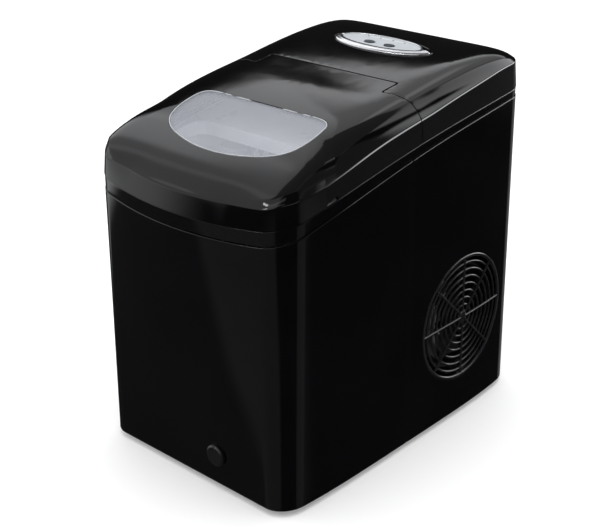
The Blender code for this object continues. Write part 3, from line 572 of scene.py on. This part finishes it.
def fill_plan(edge, holes, seeds, height):
    """Triangles between an outer loop and holes, through seed points lifted to a height."""
    loops = [edge] + holes
    pts, edges = [], []
    for loop in loops:
        s = len(pts)
        pts += [Vector(p) for p in loop]
        edges += [(s + i, s + (i + 1) % len(loop)) for i in range(len(loop))]
    for x, y in seeds:
        if inside(x, y, edge) and not any(inside(x, y, h) for h in holes):
            if all(gap_to(x, y, loop) > 0.9 for loop in loops):
                pts.append(Vector((x, y)))
    found = geometry.delaunay_2d_cdt(pts, edges, [], 0, 1e-5)
    vs, tris = found[0], found[2]
    keep = []
    for t in tris:
        cx, cy = sum(vs[i].x for i in t) / 3, sum(vs[i].y for i in t) / 3
        if inside(cx, cy, edge) and not any(inside(cx, cy, h) for h in holes):
            keep.append(tuple(t))
    return [(v.x, v.y, height(v.x, v.y)) for v in vs], keep


# Factors that draw the rim in: fine rows over the shoulder, then rings over the flat middle.
RIM_ROWS = (0.985, 0.9775, 0.969, 0.9595, 0.949, 0.937, 0.924, 0.91, 0.894, 0.876, 0.856)
RINGS = (0.834, 0.81, 0.784, 0.756, 0.726, 0.693, 0.657, 0.618, 0.576, 0.53, 0.48, 0.425, 0.365, 0.3,
         0.23, 0.15, 0.06)


def ring_point(x, y, f):
    """Point of the rim drawn in towards the middle, kept level beside the split line."""
    away = y - MID_Y
    return x * f, y - away * (1 - f) * ease((abs(away) - 6) / 60.0)


def ring_seeds():
    """Points on rings inside the fine rows, thinning out towards the flat middle."""
    rim = crease_ring()
    out = []
    for i, f in enumerate(RINGS):
        step = 1 if f > 0.75 else 2 if f > 0.55 else 4
        out += [ring_point(x, y, f) for x, y in rim[(i % 2)::step]]
    return out


def split_line(g, side_gap):
    """Rear edge of the lid from right to left: in to the tongue, round it, and out again;
    g clears the tongue and side_gap the rest."""
    t, r, tip = TONGUE_X + g, 1.6, TONGUE_Y + g
    bend = ((14, 0.5), (6, 1.9), (2.4, 2.6), (0.6, 1.6))
    half = [(t + out, LID_REAR_Y - back + side_gap) for out, back in bend]
    half += [(t, LID_REAR_Y + 1 + (TONGUE_Y - LID_REAR_Y - 3 + g) * k / 7.0) for k in range(7)]
    for a in (0, 30, 60, 90):
        half.append((t - r * (1 - cos(radians(a))), tip - r * (1 - sin(radians(a)))))
    half += [(x, tip) for x in range(66, 0, -6)]
    return half + [(0, tip)] + [(-x, y) for x, y in reversed(half)]


def skirt_rows(ids, notch):
    """Rows from the skirt's foot over the crease fillet to the dome's shoulder, at some stations."""
    foot_plan, rim_plan = outline(270), crease_ring()
    rows = [[] for _ in range(9 + len(RIM_ROWS))]
    for i in ids:
        x, y = foot_plan[i]
        lift = 0.0
        if notch and abs(x) > 100:
            lift = NOTCH_H * ease(min(y - NOTCH_Y0 + 1.2, NOTCH_Y1 + 1.2 - y) / 0.9)
        foot = Vector((x, y, seam_hi(y) + GAP + lift))
        rx, ry = rim_plan[i]
        top = Vector((rx, ry, crease(ry)))
        ix, iy = ring_point(rx, ry, 0.9925)
        above = top_z(rx, ry) - crease(ry)
        dome = Vector((ix, iy, top_z(ix, iy) - above * 0.75))
        a = top + (foot - top).normalized() * CREASE_R
        b = top + (dome - top).normalized() * CREASE_R
        for k in range(4):
            rows[k].append(foot.lerp(a, k / 4.0))
        for k in range(5):
            t = k / 4.0
            rows[4 + k].append(a * (1 - t) ** 2 + top * 2 * t * (1 - t) + b * t * t)
        for k, f in enumerate(RIM_ROWS):
            ix, iy = ring_point(rx, ry, f)
            roll = 12.0 - 8.0 * ease((abs(rx) - 50) / 45.0)
            near = max(0.0, 1 - Vector((ix - rx, iy - ry)).length / roll)
            rows[9 + k].append(Vector((ix, iy, top_z(ix, iy) - above * near ** 2)))
    return rows


def top_skin(name, ids, closing, holes, body, stands_for, notch=False):
    """Skirt, crease and dome of the lid or the deck as one skin."""
    rows = skirt_rows(ids, notch)
    vs = [tuple(p) for row in rows for p in row]
    fs = grid_faces(len(rows), len(ids), False)
    edge = [(p.x, p.y) for p in rows[-1]] + closing
    lift = {(round(p.x, 3), round(p.y, 3)): p.z for p in rows[-1]}
    def height(x, y):
        return lift.get((round(x, 3), round(y, 3)), top_z(x, y))
    tops, tris = fill_plan(edge, holes, ring_seeds(), height)
    s = len(vs)
    vs += tops
    fs += [tuple(s + i for i in t) for t in tris]
    return face_up(make(name, vs, fs, "housing_black", body, stands_for))


def face_up(ob):
    """Turn a domed skin so that it faces outwards."""
    area = sum((p.normal.z * p.area) for p in ob.data.polygons)
    if area < 0:
        ob.data.flip_normals()
    return ob


def smooth_loop(pts):
    """Closed curve through a loop of points."""
    out = []
    n, steps = len(pts), 5
    for i in range(n):
        a, b, c, d = (Vector(pts[(i + k) % n]) for k in (-1, 0, 1, 2))
        for k in range(steps):
            t = k / steps
            p = b + (c - a) * t * 0.5 + (a * 2 - b * 5 + c * 4 - d) * t * t * 0.5
            out.append(tuple(p + (b * 3 - a - c * 3 + d) * t * t * t * 0.5))
    return out


def moved_left(pts, by):
    """Loop moved towards its own left by a distance."""
    out = []
    n = len(pts)
    for i in range(n):
        along_loop = (Vector(pts[(i + 1) % n]) - Vector(pts[i - 1])).normalized()
        out.append((pts[i][0] - along_loop.y * by, pts[i][1] + along_loop.x * by))
    return out


def window_plan(inset=0.0):
    """Window: straight rear edge, short sides, bowed front edge, all corners rounded."""
    half = [(0, -58.5), (22, -58.5), (44, -58.5), (60, -58.6), (71, -60.8), (77.4, -67.5), (79.4, -80),
            (79, -94), (74.5, -107.5), (64, -117.5), (47, -124.6), (24, -129.8), (0, -131.5)]
    loop = [(x + WINDOW_X, y) for x, y in half] + [(WINDOW_X - x, y) for x, y in half[-2:0:-1]]
    return moved_left(smooth_loop(loop), -inset)


# ---------------------------------------------------------------- outer skins
def build_lid():
    """Lid with a clear pane set just below its face and a fine pale tube round it that paints the highlight
    along the window's edge.
    """
    ids = list(range(LEFT_LID, N)) + list(range(0, RIGHT_LID + 1))
    closing = split_line(0.0, 0.0)
    lid = top_skin("lid_skin", ids, closing, [window_plan()], "lid_group", ["lid"], notch=True)
    thicken(lid, WALL, TOP_EDGE)
    seeds = [(x, y) for x in range(-78, 79, 6) for y in range(-125, -60, 6)]
    tops, tris = fill_plan(window_plan(0.35), [], seeds, lambda x, y: top_z(x, y) - 0.25)
    pane = make("window_pane", tops, tris, "window_clear", "lid_group", ["lid_window"])
    thicken(face_up(pane), 1.9, 0.7)
    # pale tube round the window: a painted highlight along the window's edge
    highlight_tube = tube(on_dome(window_plan(0.9), -0.05), 0.42, 6)
    make("painted_window_highlight", *highlight_tube, "light_clear", "lid_group", smooth=60.0)


def build_deck():
    """Rear deck, open over the two buttons."""
    ids = list(range(RIGHT_DECK, LEFT_DECK + 1))
    closing = split_line(1.5, 0.8)[::-1]
    holes = [ellipse(s * BUTTON_X, BUTTON_Y, HOLE_A, HOLE_B, 28) for s in (-1, 1)]
    deck = top_skin("deck_skin", ids, closing, holes, "housing", ["rear_deck"])
    thicken(deck, WALL, TOP_EDGE)


def wall_skin(name, ids, lo, hi, inset, levels, look, stands_for, closed=False, trim=0.0):
    """Upright wall between two height curves; trim moves its upright ends along Y."""
    ref = outline(265)
    kept = ids[:1]
    for i in ids[1:]:
        if i == ids[-1] or (Vector(ref[i]) - Vector(ref[kept[-1]])).length > STATION_STEP:
            kept.append(i)
    vs = []
    for j in range(levels + 1):
        for i in kept:
            y = ref[i][1]
            z = lo(y) + (hi(y) - lo(y)) * j / levels
            x, yy = outline(z, inset)[i]
            if not closed and abs(yy - SEAM_Y) < 0.01:
                yy += trim
            vs.append((x, yy, z))
    ob = make(name, vs, grid_faces(levels + 1, len(kept), closed), look, "housing", stands_for)
    out = sum(p.normal.x * p.center.x + p.normal.y * p.center.y for p in ob.data.polygons)
    if out < 0:
        ob.data.flip_normals()
    return ob


def build_walls():
    """Front and rear shells with their openings, and the trim band above them."""
    front_ids = list(range(LEFT_SEAM, N)) + [0]
    rear_ids = list(range(0, LEFT_SEAM + 1))
    def top(y):
        return seam_lo(y) - GAP
    def foot(y):
        return BODY_Z
    front = wall_skin("front_housing", front_ids, foot, top, 0.0, 22, "housing_black", ["front_shell"],
                      trim=-SEAM_GAP)
    thicken(front, WALL, SHELL_EDGE)
    cut(front, cutter("drain_bore", *prism_data(circle(DRAIN_X, DRAIN_Z, DRAIN_R), -200, -140, "y")))
    soften_cuts(front)
    rear = wall_skin("rear_housing", rear_ids, foot, top, 0.0, 22, "housing_black", ["rear_shell"],
                     trim=SEAM_GAP)
    thicken(rear, WALL, SHELL_EDGE)
    cut(rear, cutter("fan_bore", *prism_data(circle(FAN_Y, FAN_Z, FAN_R - 1.0, 72), 90, 140, "x")))
    gland = rounded(CORD_X0, CORD_X1, CORD_Z0, CORD_Z1, 5, 4)
    cut(rear, cutter("cord_bore", *prism_data(gland, 165, 190, "y")))
    for k, y in enumerate(inlet_rows()):
        slot = rounded(y - SLOT_W, y, SLOT_Z0, SLOT_Z1, 2.4, 4)
        cut(rear, cutter("inlet_bore_%d" % k, *prism_data(slot, -140, -100, "x")))
    soften_cuts(rear)
    def band_foot(y):
        return seam_lo(y) + GAP
    def band_top(y):
        return seam_hi(y) - GAP
    band = wall_skin("seam_band", list(range(N)), band_foot, band_top, BAND_INSET, 3, "band_black",
                     ["top_band"], closed=True)
    thicken(band, BAND_WALL, 0.8)


def inlet_rows():
    """Rear edges of the upright air slots in the left side."""
    rows, y = [], SLOT_Y1
    while y - SLOT_W >= SLOT_Y0:
        rows.append(y)
        y -= SLOT_PITCH
    return rows


# ---------------------------------------------------------------- fan guard
def tube(path, radius, sides, closed=True, squash=1.0):
    """Vertices and faces of a round bar along a path."""
    vs, fs, n = [], [], len(path)
    pts = [Vector(p) for p in path]
    for i, p in enumerate(pts):
        a = pts[(i - 1) % n] if closed or i else p
        b = pts[(i + 1) % n] if closed or i < n - 1 else p
        d = (b - a).normalized()
        out = Vector((1, 0, 0))
        out = (out - d * out.dot(d)).normalized()
        side = d.cross(out)
        for k in range(sides):
            t = 2 * pi * k / sides
            vs.append(tuple(p + out * (radius * squash * cos(t)) + side * (radius * sin(t))))
    last = n if closed else n - 1
    for i in range(last):
        for k in range(sides):
            a, b = i * sides + k, i * sides + (k + 1) % sides
            c, d = ((i + 1) % n) * sides + (k + 1) % sides, ((i + 1) % n) * sides + k
            fs.append((a, b, c, d))
    if not closed:
        fs += [tuple(range(sides))[::-1], tuple(range((n - 1) * sides, n * sides))]
    return vs, fs


def merge(parts):
    """Vertices and faces of several pieces as one."""
    vs, fs = [], []
    for v, f in parts:
        s = len(vs)
        vs += v
        fs += [tuple(s + i for i in q) for q in f]
    return vs, fs


def build_grille():
    """Moulded fan guard: concentric round ribs, eight spokes in front of them and a rolled rim."""
    def at(r, a, lift):
        u, v = r * cos(a), r * sin(a)
        return (side_x(FAN_Y + u) + lift, FAN_Y + u, FAN_Z + v)
    parts = []
    ribs, first_r, step = 7, 12.5, 7.2
    for k in range(ribs):
        r = first_r + step * k
        steps = max(24, int(r * 1.6))
        parts.append(tube([at(r, 2 * pi * i / steps, -1.5) for i in range(steps)], 1.25, 8))
    rim = [at(FAN_R - 1.6, 2 * pi * i / 96, -0.9) for i in range(96)]
    parts.append(tube(rim, 2.1, 10, squash=0.75))
    for s in range(8):
        a = pi / 4 * s
        parts.append(tube([at(4 + (FAN_R - 6.5) * k / 6.0, a, -0.75) for k in range(7)], 1.3, 8, False))
    hub = [at(r, 2 * pi * i / 40, lift) for r, lift in ((6.9, -3), (7.2, -1.2), (6.2, -0.3), (3.0, 0.0))
           for i in range(40)]
    parts.append((hub + [at(0, 0, 0.1)], peak_faces(4, 40)))
    make("fan_guard", *merge(parts), "grille_dark", "housing", ["fan_grille"], smooth=60.0)


# ---------------------------------------------------------------- control panel
def build_trim():
    """Bright trim round the plate: a wide crescent in front and a narrow lip behind."""
    n = 96
    def shape(f):
        """Outline from the plate's edge, 0, to the outer edge, 1."""
        out = []
        for k in range(n):
            t = 2 * pi * k / n
            ox, oy = PANEL_A * cos(t), PANEL_Y + PANEL_B * sin(t)
            if sin(t) > 0:
                ox, oy = PLATE_X + (PLATE_A + 1.4) * cos(t), PLATE_Y + (PLATE_B + 1.4) * sin(t)
            ix, iy = PLATE_X + (PLATE_A + 0.3) * cos(t), PLATE_Y + (PLATE_B + 0.3) * sin(t)
            out.append((ix + (ox - ix) * f, iy + (oy - iy) * f))
        return out
    levels = ((1.0, 0.1), (1.0, 0.8), (0.97, 1.25), (0.85, 1.8), (0.6, 2.3), (0.3, 2.35), (0.08, 2.1),
              (0.0, 1.7), (0.0, 0.1))
    vs = []
    for f, lift in levels:
        vs += on_dome(shape(f), lift)
    fs = ring_faces(len(levels), n)
    make("silver_crescent", vs, fs, "panel_silver", "housing", ["panel_trim"], 60.0)


def build_plate():
    """Grey plate with two button wells, a slot for the lights, the strip in it and four dots."""
    edge = ellipse(PLATE_X, PLATE_Y, PLATE_A - 0.1, PLATE_B - 0.1, 96)
    holes = [ellipse(s * BUTTON_X, BUTTON_Y, WELL_A, WELL_B, 36) for s in (-1, 1)]
    holes.append(rounded(LIGHTS_X0, LIGHTS_X1, LIGHTS_Y - LIGHTS_H, LIGHTS_Y + LIGHTS_H, 1.1, 4))
    seeds = [(x, y) for x in range(-46, 47, 4) for y in range(88, 122, 4)]
    tops, tris = fill_plan(edge, holes, seeds, lambda x, y: top_z(x, y) + 1.5)
    plate = make("panel_face", tops, tris, "panel_grey", "housing", ["panel_plate"])
    thicken(face_up(plate), 1.2, 0.3, 2)
    g, h = 0.2, LIGHTS_H - 0.2
    slot = rounded(LIGHTS_X0 + g, LIGHTS_X1 - g, LIGHTS_Y - h, LIGHTS_Y + h, 0.95, 5)
    seeds = [(x, LIGHTS_Y) for x in range(-24, 21, 4)]
    tops, tris = fill_plan(slot, [], seeds, lambda x, y: top_z(x, y) + 1.6)
    strip = make("light_strip", tops, tris, "light_clear", "housing", ["light_guide"])
    thicken(face_up(strip), 1.2, 0.25, 2)
    dots = []
    for x in (-24, -9, 6, 20):
        vs = []
        for f, lift in ((1, 1.2), (1, 1.72), (0.8, 1.84), (0.3, 1.86)):
            vs += on_dome(ellipse(x, LIGHTS_Y, 0.85 * f, 0.7 * f, 16), lift)
        dots.append((vs, grid_faces(4, 16) + [tuple(range(48, 64)), tuple(range(16))[::-1]]))
    make("light_dots", *merge(dots), "button_dark", "housing", (), 60.0)


def build_buttons():
    """Domed oval buttons with a dished top."""
    for s, tag in ((-1, "power"), (1, "select")):
        x0, base = s * BUTTON_X, top_z(s * BUTTON_X, BUTTON_Y)
        vs, n = [], 40
        for f, lift in ((1, -2), (1, 1.7), (0.97, 2.1), (0.88, 2.4), (0.7, 2.35), (0.35, 2.1)):
            vs += [(x, y, base + lift) for x, y in ellipse(x0, BUTTON_Y, KEY_A * f, KEY_B * f, n)]
        vs.append((x0, BUTTON_Y, base + 2.0))
        fs = peak_faces(6, n) + [tuple(range(n))[::-1]]
        make(tag + "_key", vs, fs, "button_dark", tag + "_button_group", [tag + "_button"], 70.0)


def build_socket():
    """Black oval rim that the panel sits in, showing at the tips and along the rear."""
    vs, n = [], 96
    for f, lift in ((1.02, 0.0), (1.0, 0.35), (0.975, 0.45), (0.955, 0.2), (0.955, -0.3)):
        vs += on_dome(ellipse(0, PANEL_Y, PANEL_A * f + 1, PANEL_B * f + 1, n), lift)
    make("panel_socket", vs, ring_faces(5, n), "housing_black", "housing", (), 60.0)


# ---------------------------------------------------------------- camera, light and floor
CAMERA_PLACE = (0.74874, -0.81931, 0.65846)   # metres
CAMERA_RIGHT = (0.73819, 0.67447, -0.01272)
CAMERA_UP = (-0.26636, 0.30874, 0.91309)
CAMERA_LENS, CAMERA_SHIFT = 76.02, (-0.00922, -0.01493)


def build_camera():
    """Camera at the three-quarter view from the front right, above the lid."""
    cam = bpy.data.objects.new("camera", bpy.data.cameras.new("camera"))
    scene.collection.objects.link(cam)
    right, up = Vector(CAMERA_RIGHT), Vector(CAMERA_UP)
    turn = Matrix((right, up, right.cross(up))).transposed().to_4x4()
    cam.matrix_world = Matrix.Translation(CAMERA_PLACE) @ turn
    cam.data.sensor_width = 36.0
    cam.data.lens = CAMERA_LENS
    cam.data.shift_x, cam.data.shift_y = CAMERA_SHIFT
    cam.data.clip_start, cam.data.clip_end = 0.05, 50.0
    scene.camera = cam


STUDIO_DARK = 0.02
# Softboxes as heading from and to with their edge softness, height from and to with theirs,
# the strength at the lower and upper edge, and how fast the lower edge climbs with heading.
# Degrees; heading 0 is straight behind the left rear corner and grows by the left side
# towards the front.
SOFTBOXES = (
    (-40, 6, 3, 1, 26.5, 1.0, 52.5, 1.5, 0.58, 0.92, 0.0),       # key softbox behind on the left
    (-40, 6, 3, 1, 26.5, 1.0, 30.5, 5.0, 0.85, 0.6, 0.0),        # its bright lower edge
    (3, 1, 11, 1, 26.0, 1.2, 52.5, 1.5, 1.45, 0.9, 0.75),        # its left part, cut at a slant
    (11, 1, 24, 3, 32.0, 1.2, 52.5, 1.5, 1.35, 0.9, 0.3),        # and on
    (24, 3, 52, 8, 22.0, 4.0, 52.5, 1.5, 0.9, 0.8, 0.0),         # its left end
    (22, 5, 38, 7, 22.0, 5.0, 46.0, 5.0, 1.1, 0.8, 0.0),         # hot stripe in it
    (-22, 5, -13, 6, 38.0, 8.0, 51.0, 4.0, 0.5, 0.8, 0.0),       # second, weaker stripe
    (-79, 5, -42, 5, 20.0, 5.0, 52.0, 2.0, 2.9, 1.25, 0.0),      # strip box on the right, behind
    (-91, 6, -79, 5, 20.0, 5.0, 34.0, 5.0, 2.9, 2.1, 0.0),       # its lower right end
    (-124, 10, -91, 4, 14.0, 6.0, 60.0, 8.0, 0.13, 0.13, 0.0),   # dim wall beside it
    (45, 16, 93, 22, -24.0, 4.0, 16.0, 5.0, 1.0, 0.95, 0.25),    # low card on the left
    (50, 8, 165, 16, 12.0, 5.0, 53.2, 1.0, 0.8, 0.7, 0.0),       # high card at the front left
    (-122, 10, -58, 10, -16.0, 4.0, 18.0, 6.0, 0.09, 0.12, 0.0),  # room low on the right
    (55, 10, 94.5, 5, -76.0, 20.0, -12.0, 7.0, 0.03, 0.03, 0.0),  # ground on the left
    (94.5, 5, 173, 9, -76.0, 20.0, -12.0, 7.0, 0.05, 0.15, 0.0),  # ground in front
    (-131, 6, -98, 4, -76.0, 20.0, -12.0, 7.0, 0.05, 0.17, 0.0),  # a strip of it on the right
    (-200, 1, 200, 1, 53.0, 1.5, 120.0, 1.0, 0.16, 0.16, 0.0),   # ceiling
    (-58, 8, -15, 8, -48.0, 8.0, -12.0, 6.0, 0.24, 0.24, 0.0),   # low glow behind on the right
    (-99.5, 5, -48, 10, -2.0, 4.0, 12.0, 4.0, 8.0, 8.0, 0.0),    # thin lamp that draws the right seams
    (104, 3, 127, 3, 29.0, 2.0, 32.0, 2.0, 14.0, 14.0, 0.0),     # short bright lamp in front
    (127, 4, 200, 1, 28.0, 3.0, 32.0, 3.0, 0.8, 0.8, 0.0),       # weaker lamp round the right corner
    (-200, 1, -125, 14, 2.0, 4.0, 8.0, 4.0, 0.8, 0.8, 0.0),      # and where it meets the side
)


def build_world():
    """Studio surround: white to the camera, even for soft light, and a dark studio with
    large softboxes as the gloss sees it."""
    w = bpy.data.worlds.new("studio")
    scene.world = w
    w.use_nodes = True
    t = w.node_tree
    t.nodes.clear()
    def node(kind, **values):
        n = t.nodes.new(kind)
        for k, v in values.items():
            setattr(n, k, v)
        return n
    def maths(op, a, b=0.0):
        """Result of a maths node on numbers or sockets."""
        n = node("ShaderNodeMath", operation=op)
        for socket, v in zip(n.inputs, (a, b)):
            if isinstance(v, (int, float)):
                socket.default_value = v
            else:
                t.links.new(v, socket)
        return n.outputs[0]
    def spread(value, a, b, to_a=0.0, to_b=1.0, kind="SMOOTHSTEP"):
        """A value between a and b mapped onto to_a to to_b."""
        n = node("ShaderNodeMapRange", interpolation_type=kind)
        for name, v in (("From Min", a), ("From Max", b), ("To Min", to_a), ("To Max", to_b)):
            n.inputs[name].default_value = v
        t.links.new(value, n.inputs["Value"])
        return n.outputs["Result"]
    def window(value, lo, soft_lo, hi, soft_hi, rising=None):
        """1 between lo and hi, falling smoothly outside."""
        up = spread(rising or value, lo - soft_lo / 2, lo + soft_lo / 2)
        down = spread(value, hi - soft_hi / 2, hi + soft_hi / 2, 1.0, 0.0)
        return maths("MULTIPLY", up, down)
    place = node("ShaderNodeTexCoord").outputs["Generated"]
    split = node("ShaderNodeSeparateXYZ")
    t.links.new(place, split.inputs[0])
    x, y, z = split.outputs
    height = maths("MULTIPLY", maths("ARCSINE", z), 180 / pi)
    across = maths("MULTIPLY", maths("ADD", x, y), -1.0)
    heading = maths("MULTIPLY", maths("ARCTAN2", across, maths("SUBTRACT", y, x)), 180 / pi)
    total = STUDIO_DARK
    for h0, h0_soft, h1, h1_soft, e0, e0_soft, e1, e1_soft, low, high, climb in SOFTBOXES:
        slant = maths("MULTIPLY", maths("SUBTRACT", heading, h0), climb)
        edge = maths("SUBTRACT", height, slant) if climb else height
        upright = window(height, e0, e0_soft, e1, e1_soft, edge)
        shape = maths("MULTIPLY", window(heading, h0, h0_soft, h1, h1_soft), upright)
        total = maths("ADD", maths("MULTIPLY", shape, spread(height, e0, e1, low, high, "LINEAR")), total)
    glossy = node("ShaderNodeBackground")
    t.links.new(total, glossy.inputs["Strength"])
    glossy.inputs["Color"].default_value = (0.97, 0.98, 1.0, 1)
    soft = node("ShaderNodeBackground")
    soft.inputs["Color"].default_value = (1, 1, 1, 1)
    soft.inputs["Strength"].default_value = 0.95
    white = node("ShaderNodeBackground")
    white.inputs["Color"].default_value = (1, 1, 1, 1)
    white.inputs["Strength"].default_value = 1.0
    ray = node("ShaderNodeLightPath")
    mix1, mix2 = node("ShaderNodeMixShader"), node("ShaderNodeMixShader")
    t.links.new(ray.outputs["Is Glossy Ray"], mix1.inputs["Fac"])
    t.links.new(soft.outputs[0], mix1.inputs[1])
    t.links.new(glossy.outputs[0], mix1.inputs[2])
    t.links.new(ray.outputs["Is Camera Ray"], mix2.inputs["Fac"])
    t.links.new(mix1.outputs[0], mix2.inputs[1])
    t.links.new(white.outputs[0], mix2.inputs[2])
    t.links.new(mix2.outputs[0], node("ShaderNodeOutputWorld").inputs["Surface"])
    scene.view_settings.view_transform = "Standard"


def build_floor():
    """Pale matt floor that the gloss doesn't reflect."""
    size, n = 3.0, 24
    steps = [-size + 2 * size * i / n for i in range(n + 1)]
    vs = [(x, y, 0.0) for y in steps for x in steps]
    fs = grid_faces(n + 1, n + 1, False)
    me = bpy.data.meshes.new("floor")
    me.from_pydata(vs, [], fs)
    floor = bpy.data.objects.new("floor", me)
    scene.collection.objects.link(floor)
    mat = Mat("pale_floor").colour((0.93, 0.93, 0.935), (0.95, 0.95, 0.955), 3.0).rough(0.85, 0.95, 4.0)
    mat.put(Specular_IOR_Level=0.0, Emission_Color=(1, 1, 1, 1), Emission_Strength=0.14)
    me.materials.append(mat.m)
    floor.visible_glossy = False
    floor.visible_transmission = False


def build_lights():
    """Two soft lamps that the gloss doesn't reflect."""
    for name, place, size, power in (("overhead", (0.1, 0.2, 1.9), 1.6, 14.0),
                                     ("left_fill", (-1.5, -0.8, 0.9), 1.2, 6.0)):
        data = bpy.data.lights.new(name, "AREA")
        data.shape, data.size, data.energy = "DISK", size, power
        lamp = bpy.data.objects.new(name, data)
        scene.collection.objects.link(lamp)
        lamp.location = place
        lamp.rotation_mode = "QUATERNION"
        lamp.rotation_quaternion = (Vector(place) - Vector((0, 0, 0.2))).to_track_quat("Z", "Y")
        lamp.visible_glossy = False


def dress_frame():
    """Materials and softened edges for the CAD nodes that still show."""
    slots = {s["node"]: s["material_slot"] for s in frame["record"]["subparts"]}
    for name, ob in nodes.items():
        look = LOOKS[slots[name]]
        ob.data.materials.clear()
        ob.data.materials.append(look)
        if not ob.hide_render:
            soften(ob, 0.35, 2, 38.0)


build_camera()
build_world()
build_floor()
build_lights()
build_walls()
build_lid()
build_deck()
build_grille()
build_trim()
build_plate()
build_buttons()
build_socket()
dress_frame()
